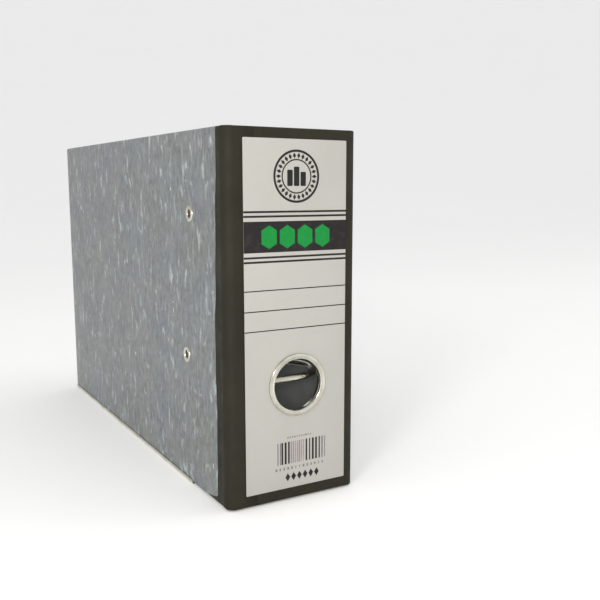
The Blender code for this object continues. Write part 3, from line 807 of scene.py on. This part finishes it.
def spun(name, section, axis, middle, material, sides=72):
    """Spins a closed section of (radius, height along the axis) about an axis through the middle."""
    bm = bmesh.new()
    up, first = Vector((0, 0, 0)), Vector((0, 0, 0))
    up[axis], first[(axis + 1) % 3] = 1.0, 1.0
    second = up.cross(first)
    rings = []
    for i in range(sides):
        outward = first * cos(2 * pi * i / sides) + second * sin(2 * pi * i / sides)
        rings.append([bm.verts.new(Vector(middle) + outward * r + up * h) for r, h in section])
    skin(bm, rings + rings[:1])
    bmesh.ops.recalc_face_normals(bm, faces=bm.faces)
    return show(name, bm, material, 50)


# %% [markdown]
# ## The label
#
# A smooth paper label covers most of the spine, with a hole for the thumb ring. Its print is thin ink
# on top: ruled lines, a dark band with green shapes, a plain badge and a row of bars. Nothing on it can
# be read: every mark is a plain ornament.

# %% Label sheet
label_low, label_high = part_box("spine_label")
LABEL_FACE = SPINE_Y - 0.34 * MM
INK = 0.03 * MM
bm = bmesh.new()
loop = rounded_rectangle((label_low.x, label_low.z), (label_high.x, label_high.z), 0.5 * MM, 3)
slab(bm, loop, 1, LABEL_FACE, SPINE_Y - 0.02 * MM)
label = show("label_sheet", bm, finishes["label_paper"])
soften(label, 0.06 * MM, 2)
label = punch(settle(label, 40), [thumb_hole])
mount(label, "spine", "label_paper", "spine_label")

# %% [markdown]
# ## Print made by Geometry Nodes
#
# Bars and rings of small marks repeat, so two node trees make them. The first sets bars in a row, each
# with its own width from a seeded random value. The second sets lozenges round a circle.


# %% Node trees
def node_tree(name, inputs):
    """A Geometry Nodes group. Returns it, the sockets of its inputs, and a function that adds a node."""
    group = bpy.data.node_groups.new(name, "GeometryNodeTree")
    group.interface.new_socket("Geometry", in_out="OUTPUT", socket_type="NodeSocketGeometry")
    for label_text, kind in inputs:
        group.interface.new_socket(label_text, in_out="INPUT", socket_type="NodeSocket" + kind)
    entry = group.nodes.new("NodeGroupInput")

    def put(kind, values=None, **settings):
        made = group.nodes.new(kind)
        for key, value in settings.items():
            setattr(made, key, value)
        for key, value in (values or {}).items():
            if isinstance(value, bpy.types.NodeSocket):
                group.links.new(value, made.inputs[key])
            else:
                made.inputs[key].default_value = value
        return made

    return group, entry.outputs, put


def close_tree(group, put, instances, material):
    """Every tree ends by making its copies real and giving them their material."""
    real = put("GeometryNodeRealizeInstances", {"Geometry": instances})
    coated = put("GeometryNodeSetMaterial", {"Geometry": real.outputs["Geometry"], "Material": material})
    group.links.new(coated.outputs["Geometry"], group.nodes.new("NodeGroupOutput").inputs[0])


def row_of_bars():
    kinds = [("Count", "Int"), ("Pitch", "Float"), ("Narrow", "Float"), ("Wide", "Float")]
    kinds += [("Height", "Float"), ("Thickness", "Float"), ("Seed", "Int"), ("Material", "Material")]
    group, given, put = node_tree("row of bars", kinds)
    offset = put("ShaderNodeCombineXYZ", {"X": given["Pitch"]})
    line = put("GeometryNodeMeshLine", {"Count": given["Count"], "Offset": offset.outputs[0]})
    one = put("GeometryNodeMeshCube", {"Size": (1, 1, 1)})
    width = put("FunctionNodeRandomValue", {2: given["Narrow"], 3: given["Wide"], "Seed": given["Seed"]})
    size = {"X": width.outputs[1], "Y": given["Thickness"], "Z": given["Height"]}
    scale = put("ShaderNodeCombineXYZ", size)
    values = {"Points": line.outputs["Mesh"], "Instance": one.outputs["Mesh"], "Scale": scale.outputs[0]}
    copies = put("GeometryNodeInstanceOnPoints", values)
    close_tree(group, put, copies.outputs["Instances"], given["Material"])
    return group


def ring_of_lozenges():
    kinds = [("Count", "Int"), ("Radius", "Float"), ("Length", "Float"), ("Width", "Float")]
    kinds += [("Thickness", "Float"), ("Material", "Material")]
    group, given, put = node_tree("ring of lozenges", kinds)
    circle = put("GeometryNodeMeshCircle", {"Vertices": given["Count"], "Radius": given["Radius"]})
    place = put("ShaderNodeSeparateXYZ", {0: put("GeometryNodeInputPosition").outputs[0]})
    turn = put("ShaderNodeMath", {0: place.outputs["Y"], 1: place.outputs["X"]}, operation="ARCTAN2")
    turned = put("ShaderNodeCombineXYZ", {"Z": turn.outputs[0]})
    one = put("GeometryNodeMeshCylinder", {"Vertices": 4, "Radius": 0.5, "Depth": given["Thickness"]})
    scale = put("ShaderNodeCombineXYZ", {"X": given["Length"], "Y": given["Width"], "Z": 1.0})
    values = {"Points": circle.outputs["Mesh"], "Instance": one.outputs["Mesh"], "Scale": scale.outputs[0]}
    copies = put("GeometryNodeInstanceOnPoints", {**values, "Rotation": turned.outputs[0]})
    close_tree(group, put, copies.outputs["Instances"], given["Material"])
    return group


def grow(name, group, values, place):
    """Runs a tree on an empty mesh and keeps the result as a plain mesh at its place."""
    host = bpy.data.objects.new(name, bpy.data.meshes.new(name))
    bpy.context.scene.collection.objects.link(host)
    modifier = host.modifiers.new("grow", "NODES")
    modifier.node_group = group
    for item in group.interface.items_tree:
        if item.in_out == "INPUT":
            modifier[item.identifier] = values[item.name]
    host.matrix_world = place
    return settle(host)


bars, lozenges = row_of_bars(), ring_of_lozenges()

# %% [markdown]
# ## The badge, the band and the bars
#
# The rest of the print is drawn as flat loops with a little thickness. The black, grey, purple and
# green marks are one piece each, because each colour is one pass of the press.


# %% Ink marks
def above_foot(height):
    return FOOT + height * MM


def ink_loop(bm, points):
    slab(bm, points, 1, LABEL_FACE - INK, LABEL_FACE)


def ink_box(bm, x_low, x_high, z_low, z_high):
    ink_loop(bm, [(x_low, z_low), (x_high, z_low), (x_high, z_high), (x_low, z_high)])


def ink_ring(bm, centre, outer, inner, sides=72):
    """A flat ring with square edges."""
    loops = []
    for level in (LABEL_FACE - INK, LABEL_FACE):
        for radius in (outer, inner):
            ring = []
            for i in range(sides):
                angle = 2 * pi * i / sides
                x, z = centre[0] + radius * cos(angle), centre[1] + radius * sin(angle)
                ring.append(bm.verts.new((x, level, z)))
            loops.append(ring)
    faces = skin(bm, (loops[0], loops[1], loops[3], loops[2], loops[0]))
    bmesh.ops.recalc_face_normals(bm, faces=faces)


left, right = label_low.x, label_high.x
label_middle = (left + right) / 2


def printed_bars(name, x, height, ink_finish, **values):
    """A row of bars, from the first bar's distance to the label's middle. Sizes are in mm."""
    sizes = {key: value * MM if isinstance(value, float) else value for key, value in values.items()}
    place = Matrix.Translation((label_middle + x * MM, LABEL_FACE - INK / 2, above_foot(height)))
    return grow(name, bars, {"Thickness": INK, "Material": ink_finish, **sizes}, place)


bm = bmesh.new()
for height in (155.3, 153.0, 132.2, 129.9):
    ink_box(bm, left, right, above_foot(height - 0.52), above_foot(height + 0.52))
ink_box(bm, left, right, above_foot(134.7), above_foot(150.5))

badge = (label_middle + 0.1 * MM, above_foot(173.2))
ink_ring(bm, badge, 13.5 * MM, 12.3 * MM)
ink_ring(bm, badge, 8.8 * MM, 8.1 * MM)
face_spine = Matrix.Rotation(radians(90), 4, "X")
badge_place = Matrix.Translation((badge[0], LABEL_FACE - INK / 2, badge[1])) @ face_spine
values = {"Count": 26, "Radius": 10.55 * MM, "Length": 3.0 * MM, "Width": 1.9 * MM, "Thickness": INK}
take_in(bm, grow("badge_ring", lozenges, {**values, "Material": black_ink}, badge_place))
for i, height in enumerate((8.2, 9.8, 7.2)):
    x = badge[0] + (i - 1) * 3.9 * MM
    foot = badge[1] - 4.9 * MM
    loop = rounded_rectangle((x - 1.6 * MM, foot), (x + 1.6 * MM, foot + height * MM), 0.5 * MM, 3)
    ink_loop(bm, loop)

for i in range(6):
    x, z = label_middle + (-5.6 + 3.6 * i) * MM, above_foot(12.6)
    ink_loop(bm, [(x - 1.5 * MM, z), (x, z - 2.3 * MM), (x + 1.5 * MM, z), (x, z + 2.3 * MM)])
dark = {"Narrow": 0.7, "Wide": 1.2, "Height": 12.2}
take_in(bm, printed_bars("left_bars", -8.9, 26.3, black_ink, Count=3, Pitch=2.0, Seed=5, **dark))
take_in(bm, printed_bars("right_bars", 6.0, 26.3, black_ink, Count=5, Pitch=2.05, Seed=9, **dark))
for height in (115.2, 104.6, 94.2):
    ink_box(bm, left, right, above_foot(height - 0.28), above_foot(height + 0.28))
mount(settle(show("label_black_print", bm, black_ink), 30), "spine", "label_paper")

bm = bmesh.new()
pale = {"Narrow": 0.5, "Wide": 1.2, "Height": 12.2}
take_in(bm, printed_bars("first_bars", -11.6, 26.3, grey_ink, Count=2, Pitch=1.6, Seed=2, **pale))
take_in(bm, printed_bars("last_bars", 16.0, 26.3, grey_ink, Count=2, Pitch=1.7, Seed=4, **pale))
tick = {"Narrow": 0.4, "Wide": 1.1, "Height": 1.5}
take_in(bm, printed_bars("number_ticks", -12.6, 17.6, grey_ink, Count=13, Pitch=2.4, Seed=3, **tick))
tick["Height"] = 0.9
take_in(bm, printed_bars("small_ticks", -5.4, 34.8, grey_ink, Count=11, Pitch=1.4, Seed=6, **tick))
mount(settle(show("label_grey_print", bm, grey_ink), 30), "spine", "label_paper")

middle_bars = {"Count": 7, "Pitch": 1.25, "Narrow": 0.6, "Wide": 1.05, "Height": 12.2, "Seed": 7}
bm = bmesh.new()
take_in(bm, printed_bars("middle_bars", -3.4, 26.3, purple_ink, **middle_bars))
mount(settle(show("label_purple_print", bm, purple_ink), 30), "spine", "label_paper")

bm = bmesh.new()
half_w, shoulder, tip = 4.4 * MM, 3.4 * MM, 6.0 * MM
outline = [(-half_w, -shoulder), (0, -tip), (half_w, -shoulder)]
outline += [(half_w, shoulder), (0, tip), (-half_w, shoulder)]
for i in range(4):
    x, z = label_middle + (-16.0 + 10.55 * i) * MM, above_foot(142.5)
    slab(bm, [(x + dx, z + dz) for dx, dz in outline], 1, LABEL_FACE - 2 * INK, LABEL_FACE - INK)
mount(settle(show("label_green_print", bm, green_ink), 30), "spine", "label_paper")

# %% [markdown]
# ## The thumb ring
#
# The thumb hole is finished with a flanged ring of thin nickelled sheet. Its flange is dished: it
# stands up round the hole, dips, and curls down again onto the label. Inside, a washer takes the end of
# the sleeve.

# %% Thumb ring
ring_low, ring_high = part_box("thumb_ring_outer")
inner_r, outer_r = 14.0 * MM, (ring_high.x - ring_low.x) / 2
sheet, hole_r = 0.4 * MM, 14.8 * MM
label_lift = SPINE_Y - LABEL_FACE
crown = label_lift + 1.15 * MM


def quarter_turns(centre, radii, start, end, steps=6):
    """Points along part of an ellipse, in a section."""
    angles = [radians(start + (end - start) * i / steps) for i in range(steps + 1)]
    return [(centre[0] + radii[0] * cos(a), centre[1] + radii[1] * sin(a)) for a in angles]


sleeve_end = LAYERS + 0.3 * MM
section = [(hole_r, sleeve_end), (hole_r, 1.0 * MM), (inner_r + 0.1 * MM, 0.5 * MM)]
section += quarter_turns((inner_r + 0.55 * MM, -crown + 0.75 * MM), (0.55 * MM, 0.75 * MM), 180, 270)
dip = ((inner_r + 0.75 * MM, -crown + 0.03 * MM), (outer_r - 0.75 * MM, -crown + 0.2 * MM))
section += bulge(*dip, 0.2 * MM)
section += quarter_turns((outer_r - 0.5 * MM, -label_lift - 0.55 * MM), (0.5 * MM, 0.6 * MM), 300, 360, 4)
section += [(outer_r, -label_lift), (outer_r - sheet, -label_lift), (outer_r - sheet, -crown + 0.8 * MM)]
section += [(inner_r + 1.2 * MM, -crown + 0.65 * MM), (inner_r + 0.6 * MM, -crown + 1.1 * MM)]
flare_r = hole_r + 0.08 * MM
section += [(inner_r + 0.55 * MM, 0.2 * MM), (flare_r, 0.9 * MM), (flare_r, sleeve_end)]
ring_place = (ring_middle.x, SPINE_Y, ring_middle.z)
ring = spun("thumb_ring", section, 1, ring_place, finishes["nickel"], 120)
mount(ring, "spine", "nickel", "thumb_ring_outer")

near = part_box("thumb_ring_inner")[0].y - SPINE_Y
far = near + sheet
section = [(outer_r - 1.1 * MM, near), (outer_r - 0.1 * MM, near), (outer_r, near + 0.15 * MM)]
section += [(outer_r - 0.15 * MM, far), (outer_r - 1.0 * MM, far), (outer_r - 1.1 * MM, far - 0.1 * MM)]
washer = spun("thumb_washer", section, 1, ring_place, finishes["nickel"], 120)
mount(washer, "spine", "nickel", "thumb_ring_inner")

# %% [markdown]
# ## The rivets
#
# Two open tubular rivets hold the mechanism through the back board. Outside they show a rolled bright
# rim round a dark hole, and inside they are clinched over the plate.


# %% Rivets
def rolled_rim(radius_in, radius_out, face, height, sign):
    """Section points over a rolled rim, from its inner to its outer edge."""
    points = []
    for i in range(9):
        angle = pi * i / 8
        centre, reach = (radius_in + radius_out) / 2, (radius_out - radius_in) / 2
        rise = height * sin(angle) ** 0.8 if i else 0
        points.append((centre - reach * cos(angle), face + sign * rise))
    return points


for name, place in zip(("lower", "upper"), rivets):
    low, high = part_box(f"rivet_{name}")
    head = -HALF - 0.02 * MM
    bore, shank = 2.3 * MM, 2.75 * MM
    rim = rolled_rim(bore, 4.5 * MM, head - low.x, head - low.x - 0.02 * MM, -1)
    clinch = rolled_rim(bore, 4.0 * MM, high.x - 0.45 * MM - low.x, 0.42 * MM, 1)
    section = rim + [(shank, head - low.x), (shank, high.x - 0.45 * MM - low.x)] + clinch[::-1]
    eyelet = spun(f"eyelet_{name}", section, 0, (low.x, place.y, place.z), finishes["nickel"], 48)
    mount(eyelet, "back_cover", "nickel", f"rivet_{name}")

# %% [markdown]
# ## The edge strips
#
# The foot of each cover stands in a channel of thin bright metal. Its section is a rounded U with lips
# that close on the board, pushed along the board, and the lips are cut back at the front end.


# %% Edge strips
def strip_section(low, high, height):
    """A rounded channel in X and Z, as a closed loop."""
    sheet, radius = 0.35 * MM, 1.1 * MM
    outer, inner = [], []
    for loop, inset, r in ((outer, 0.0, radius), (inner, sheet, radius - sheet)):
        x_low, x_high, z_low = low.x + inset, high.x - inset, low.z + inset
        loop.append((x_low + 0.12 * MM, low.z + height))
        loop.append((x_low, low.z + height * 0.75))
        for centre_x, start in ((x_low + r, 180), (x_high - r, 270)):
            for i in range(6):
                angle = radians(start + 18 * i)
                loop.append((centre_x + r * cos(angle), z_low + r + r * sin(angle)))
        loop.append((x_high, low.z + height * 0.75))
        loop.append((x_high - 0.12 * MM, low.z + height))
    return outer + inner[::-1]


def edge_strip(prefix):
    low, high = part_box(f"{prefix}_edge_strip")
    full = high.z - low.z
    steps = [(0.0, 0.62), (0.8 * MM, 0.86), (1.8 * MM, 1.0)]
    steps += [((high.y - low.y) * i / 20, 1.0) for i in range(1, 20)]
    steps += [(high.y - low.y - 0.8 * MM, 1.0), (high.y - low.y, 0.8)]
    bm = bmesh.new()
    rings = []
    for along, share in steps:
        ring = strip_section(low, high, full * share)
        rings.append([bm.verts.new((x, low.y + along, z)) for x, z in ring])
    skin(bm, rings)
    bm.faces.new(rings[0])
    bm.faces.new(rings[-1])
    bmesh.ops.recalc_face_normals(bm, faces=bm.faces)
    bmesh.ops.triangulate(bm, faces=[f for f in bm.faces if len(f.verts) > 4])
    return show(f"{prefix}_foot_strip", bm, finishes["nickel"], 50)


for prefix in ("back", "front"):
    mount(edge_strip(prefix), f"{prefix}_cover", "nickel", f"{prefix}_edge_strip")

# %% [markdown]
# ## The stamped plate and the lever
#
# These two are folded sheet with holes and lugs, whose shape in the frame is already right. So each is
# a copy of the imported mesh, cleaned and with its sharp edges broken, and then the stamping that
# stiffens it is added.


# %% Softened copies
def softened(node, name, material, width):
    bm = bmesh.new()
    bm.from_mesh(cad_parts[node].data)
    bmesh.ops.remove_doubles(bm, verts=bm.verts, dist=1e-6)
    bmesh.ops.dissolve_limit(bm, angle_limit=radians(1), verts=bm.verts, edges=bm.edges)
    piece = show(name, bm, material)
    soften(piece, width, 2, 50)
    return settle(piece, 40)


plate_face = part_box("post_lower")[0].x + 1.0 * MM


def bead(bm, start, end, radius, height, steps=10):
    """A long raised rib on the plate: a round ridge with round ends, pressed from below."""
    start, end = Vector(start), Vector(end)
    along = (end - start).normalized()
    across = Vector((-along.y, along.x))
    rows = []
    for level in range(5):
        share = level / 4
        reach, lift = radius * cos(share * pi / 2), height * sin(share * pi / 2)
        ring = []
        for centre, turn in ((end, 0), (start, pi)):
            for i in range(steps + 1):
                angle = turn + pi / 2 - pi * i / steps
                offset = along * cos(angle) * reach + across * sin(angle) * reach
                ring.append((centre + offset, lift))
        rows.append(ring)
    rings = [[bm.verts.new((plate_face - 0.1 * MM, p.x, p.y)) for p, _ in rows[0]]]
    for row in rows[:-1]:
        rings.append([bm.verts.new((plate_face + lift, p.x, p.y)) for p, lift in row])
    faces = [bm.faces.new(rings[0]), bm.faces.new(rings[-1][::-1])] + skin(bm, rings)
    bmesh.ops.recalc_face_normals(bm, faces=faces)


lever_pin = middle_of("lever_pivot_pin")
plate = softened("mechanism_base_plate", "stamped_plate", finishes["zinc_plate"], 0.12 * MM)
bm = bmesh.new()
take_in(bm, plate)
rib_y = posts[0].y - 7.5 * MM
bead(bm, (rib_y, posts[0].z - 1 * MM), (rib_y, posts[0].z + 36 * MM), 1.6 * MM, 0.7 * MM)
bead(bm, (posts[0].y, rivets[0].z + 9 * MM), (posts[0].y, posts[1].z - 9 * MM), 1.8 * MM, 0.8 * MM)
bead(bm, (rib_y, posts[0].z + 46 * MM), (rib_y, posts[1].z - 6 * MM), 1.6 * MM, 0.7 * MM)
plate = show("stamped_plate", bm, finishes["zinc_plate"])
mount(plate, "back_cover", "zinc_plate", "mechanism_base_plate")

# %% [markdown]
# ## The lever
#
# The lever is a folded channel that straddles its roller. Its finger tongue ends in a small rolled curl,
# so that it doesn't cut the finger. The curl is a short round bar along the tongue's edge, because only
# its outside is ever seen.

# %% Lever
lever_low, lever_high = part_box("lever")
lever = softened("lever", "lever_channel", finishes["zinc_plate"], 0.15 * MM)
bm = bmesh.new()
take_in(bm, lever)
curl_r = 0.95 * MM
curl_middle = (lever_low + lever_high) / 2
curl_middle.x, curl_middle.z = lever_high.x - curl_r * 0.9, lever_low.z + curl_r * 0.55
along_y = Matrix.Translation(curl_middle) @ Matrix.Rotation(radians(90), 4, "X")
width = lever_high.y - lever_low.y - 0.3 * MM
made = bmesh.ops.create_cone(
    bm, cap_ends=True, segments=28, radius1=curl_r, radius2=curl_r, depth=width, matrix=along_y
)
ends = [e for v in made["verts"] for e in v.link_edges if abs(e.verts[0].co.y - e.verts[1].co.y) < 1e-7]
bmesh.ops.bevel(bm, geom=list(set(ends)), offset=0.2 * MM, segments=2, profile=0.5, affect="EDGES")
mount(show("lever_channel", bm, finishes["zinc_plate"]), "lever", "zinc_plate", "lever")

# %% [markdown]
# ## The posts
#
# The posts are hollow, so that the tips of the arches drop into them. Each is spun from one section: a
# spigot in the plate, a foot flange on it, and a thin tube with a rounded mouth.

# %% Posts
for name, node in (("lower", "post_lower"), ("upper", "post_upper")):
    low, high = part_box(node)
    tall = high.x - low.x
    wall, bore = 2.5 * MM, 1.9 * MM
    section = [(1.3 * MM, 0), (1.85 * MM, 0), (1.85 * MM, 1.3 * MM)]
    section += [(3.7 * MM, 1.3 * MM), (4.0 * MM, 1.45 * MM)]
    section += [(4.0 * MM, 1.75 * MM), (3.7 * MM, 2.0 * MM), (2.9 * MM, 2.15 * MM), (wall, 2.7 * MM)]
    section += [(wall, tall - 0.5 * MM)]
    section += quarter_turns(((wall + bore) / 2, tall - 0.3 * MM), ((wall - bore) / 2, 0.3 * MM), 0, 180)
    section += [(bore, 3.2 * MM), (1.3 * MM, 2.6 * MM)]
    axis_y, axis_z = (low.y + high.y) / 2, (low.z + high.z) / 2
    post = spun(f"post_{name}_tube", section, 0, (low.x, axis_y, axis_z), finishes["nickel"], 48)
    mount(post, "back_cover", "nickel", node)


# %% [markdown]
# ## The roller and its pins
#
# The lever turns on a pin with a domed head at each end, and its roller on a smaller one. The roller is
# a short wheel with a shallow groove in each face, between its hub and its rim. The pins are stacks of
# rings, because a spun section would leave a hole along the axis.


# %% Roller and pins
def domed_pin(name, node, shank, head, dome):
    """A pin along Y with a domed head at each end."""
    low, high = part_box(node)
    middle, half = (low + high) / 2, (high.y - low.y) / 2
    profile = []
    for sign in (-1, 1):
        cap = []
        for i in range(6):
            angle = pi / 2 * i / 6
            cap.append((head * cos(angle), sign * (half - dome + dome * sin(angle))))
        base = [(head, sign * (half - dome)), (shank, sign * (half - dome))]
        profile += cap[::-1] + base if sign < 0 else base[::-1] + cap
    bm = bmesh.new()
    rings = []
    for r, h in profile:
        angles = [2 * pi * i / 32 for i in range(32)]
        points = [middle + Vector((r * cos(a), h, r * sin(a))) for a in angles]
        rings.append([bm.verts.new(point) for point in points])
    skin(bm, rings)
    bm.faces.new(rings[0])
    bm.faces.new(rings[-1])
    bmesh.ops.remove_doubles(bm, verts=bm.verts, dist=1e-7)
    bmesh.ops.recalc_face_normals(bm, faces=bm.faces)
    return show(name, bm, finishes["nickel"], 40)


pin = domed_pin("pivot_pin", "lever_pivot_pin", 1.5 * MM, 2.4 * MM, 0.8 * MM)
mount(pin, "back_cover", "nickel", "lever_pivot_pin")
pin = domed_pin("roller_axle", "roller_pin", 1.2 * MM, 1.9 * MM, 0.6 * MM)
mount(pin, "lever", "nickel", "roller_pin")

roller_low, roller_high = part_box("lever_roller")
roller_middle, half = (roller_low + roller_high) / 2, (roller_high.y - roller_low.y) / 2
outer_r = (roller_high.x - roller_low.x) / 2
dished = -half + 0.3 * MM
section = [(1.36 * MM, -half), (2.6 * MM, -half), (2.8 * MM, dished), (3.4 * MM, dished)]
section += [(outer_r - 0.2 * MM, -half), (outer_r, -half + 0.25 * MM)]
section += [(r, -h) for r, h in section[::-1]]
roller = spun("roller", section, 1, roller_middle, finishes["nickel"], 48)
mount(roller, "roller", "nickel", "lever_roller")

# %% [markdown]
# ## The bow
#
# The bow is one steel wire, bent in eight places: two half arches, and between them the shaft that
# turns in the plate, with a crank for the lever's roller. A wire is best drawn as a path with a round
# bevel. Its two tips are thinned to a blunt nose that finds the mouth of a post.


# %% Wires
def filleted(corners, radii, steps=8):
    """A path through corners, each rounded by its radius."""
    path = [Vector(corners[0])]
    for before, corner, after, radius in zip(corners, corners[1:], corners[2:], radii):
        before, corner, after = Vector(before), Vector(corner), Vector(after)
        inward, outward = (before - corner).normalized(), (after - corner).normalized()
        half = inward.angle(outward) / 2
        centre = corner + (inward + outward).normalized() * (radius / sin(half))
        reach = radius / sin(half) * cos(half)
        start, end = corner + inward * reach - centre, corner + outward * reach - centre
        path += [centre + start.slerp(end, i / steps).normalized() * radius for i in range(steps + 1)]
    path.append(Vector(corners[-1]))
    return path


def wire(name, path, radius, material, tip_shares=(), bevel=6):
    """A round wire along a path. Tip shares thin its first and last points."""
    curve = bpy.data.curves.new(name, "CURVE")
    curve.dimensions = "3D"
    curve.bevel_depth = radius
    curve.bevel_resolution = bevel
    curve.use_fill_caps = True
    spline = curve.splines.new("POLY")
    spline.points.add(len(path) - 1)
    for point, place in zip(spline.points, path):
        point.co = (*place, 1.0)
    for index, share in enumerate(tip_shares):
        spline.points[index].radius = share
        spline.points[-1 - index].radius = share
    curve.materials.append(material)
    made = bpy.data.objects.new(name, curve)
    bpy.context.scene.collection.objects.link(made)
    return settle(made, 50)


WIRE_R = 2.0 * MM
bow_low, bow_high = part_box("arch_bow")
shaft = Vector((bow_low.x + WIRE_R, bow_low.y + WIRE_R))
arch_zs = (posts[0].z, posts[1].z)
post_y = posts[0].y
arch_r = (post_y - shaft.y) / 2
spring_x = bow_high.x - WIRE_R - arch_r
roller_z = roller_middle.z
crank_low, crank_high = roller_z - 6 * MM, roller_z + 4 * MM
corners = [
    (spring_x, shaft.y, arch_zs[1]),
    (shaft.x, shaft.y, arch_zs[1]),
    (shaft.x, shaft.y, crank_high),
    (shaft.x, lever_pin.y, crank_high),
    (shaft.x, lever_pin.y, crank_low),
    (shaft.x, shaft.y, crank_low),
    (shaft.x, shaft.y, arch_zs[0]),
    (spring_x, shaft.y, arch_zs[0]),
]
shaft_path = filleted(corners, [5 * MM] + [3 * MM] * 4 + [5 * MM])
nose = [0.35, 0.62, 0.82, 0.95, 1.0]
bow_path = []
for z in arch_zs[::-1]:
    half_arch = []
    for i, share in enumerate(nose):
        half_arch.append(Vector((spring_x - 1.0 * MM + 0.25 * MM * i, post_y, z)))
    for i in range(1, 37):
        angle = radians(90 - 5 * i)
        y = (post_y + shaft.y) / 2 + arch_r * sin(angle)
        half_arch.append(Vector((spring_x + arch_r * cos(angle), y, z)))
    bow_path += half_arch + shaft_path[1:-1] if z == arch_zs[1] else half_arch[::-1]
mount(wire("bow_wire", bow_path, WIRE_R, finishes["nickel"], nose), "bow", "nickel", "arch_bow")

# %% [markdown]
# ## The spring
#
# A torsion spring throws the bow open. It is a helix round the shaft, below the crank, with one leg on
# the plate and the other under the crank, so it is the same kind of wire on a tighter path.


# %% Spring
turns, pitch, thin = 4, 1.35 * MM, 0.5 * MM
coil_r = WIRE_R + 0.6 * MM + thin
coil_low = crank_low - 3 * MM - WIRE_R - (turns + 1) * pitch
coil = []
for i in range(turns * 32 + 1):
    angle = pi + 2 * pi * i / 32
    turned = Vector((coil_r * cos(angle), coil_r * sin(angle), coil_low + pitch * i / 32))
    coil.append(Vector((shaft.x, shaft.y, 0)) + turned)
last = coil[-1]
hook = [last, last + Vector((0, -2 * thin, 0)), Vector((last.x, last.y - 2 * thin, crank_low))]
hook.append(Vector((last.x, last.y + 8.5 * MM, crank_low)))
tail = filleted(hook, [0.8 * MM, 1.5 * MM], 5)
spring_path = [coil[0] + Vector((0, 8.5 * MM, 0))] + coil + tail[1:]
spring = wire("spring_wire", spring_path, thin, finishes["spring_steel"], bevel=3)
mount(spring, "back_cover", "spring_steel", "bow_spring")

# %% [markdown]
# ## The floor
#
# A plain pale floor, flat for more than a metre round the file. Further out it curves up like the
# paper sweep of a studio, so that no horizon shows behind the file.

# %% Floor
FLAT_REACH = 1.3
SWEEP_RISE = 0.055
bm = bmesh.new()
bmesh.ops.create_grid(bm, x_segments=96, y_segments=96, size=9.0)
for vert in bm.verts:
    vert.co.z = SWEEP_RISE * max(0.0, vert.co.length - FLAT_REACH) ** 2
floor_material, tree, shader = new_finish("floor", 0.85, Specular_IOR_Level=0.2)
tone = mix(tree, noise(tree, object_space(tree), 3.0), (0.95, 0.95, 0.95), (0.97, 0.97, 0.97))
tree.links.new(tone, shader.inputs["Base Color"])
floor = show("floor", bm, floor_material)
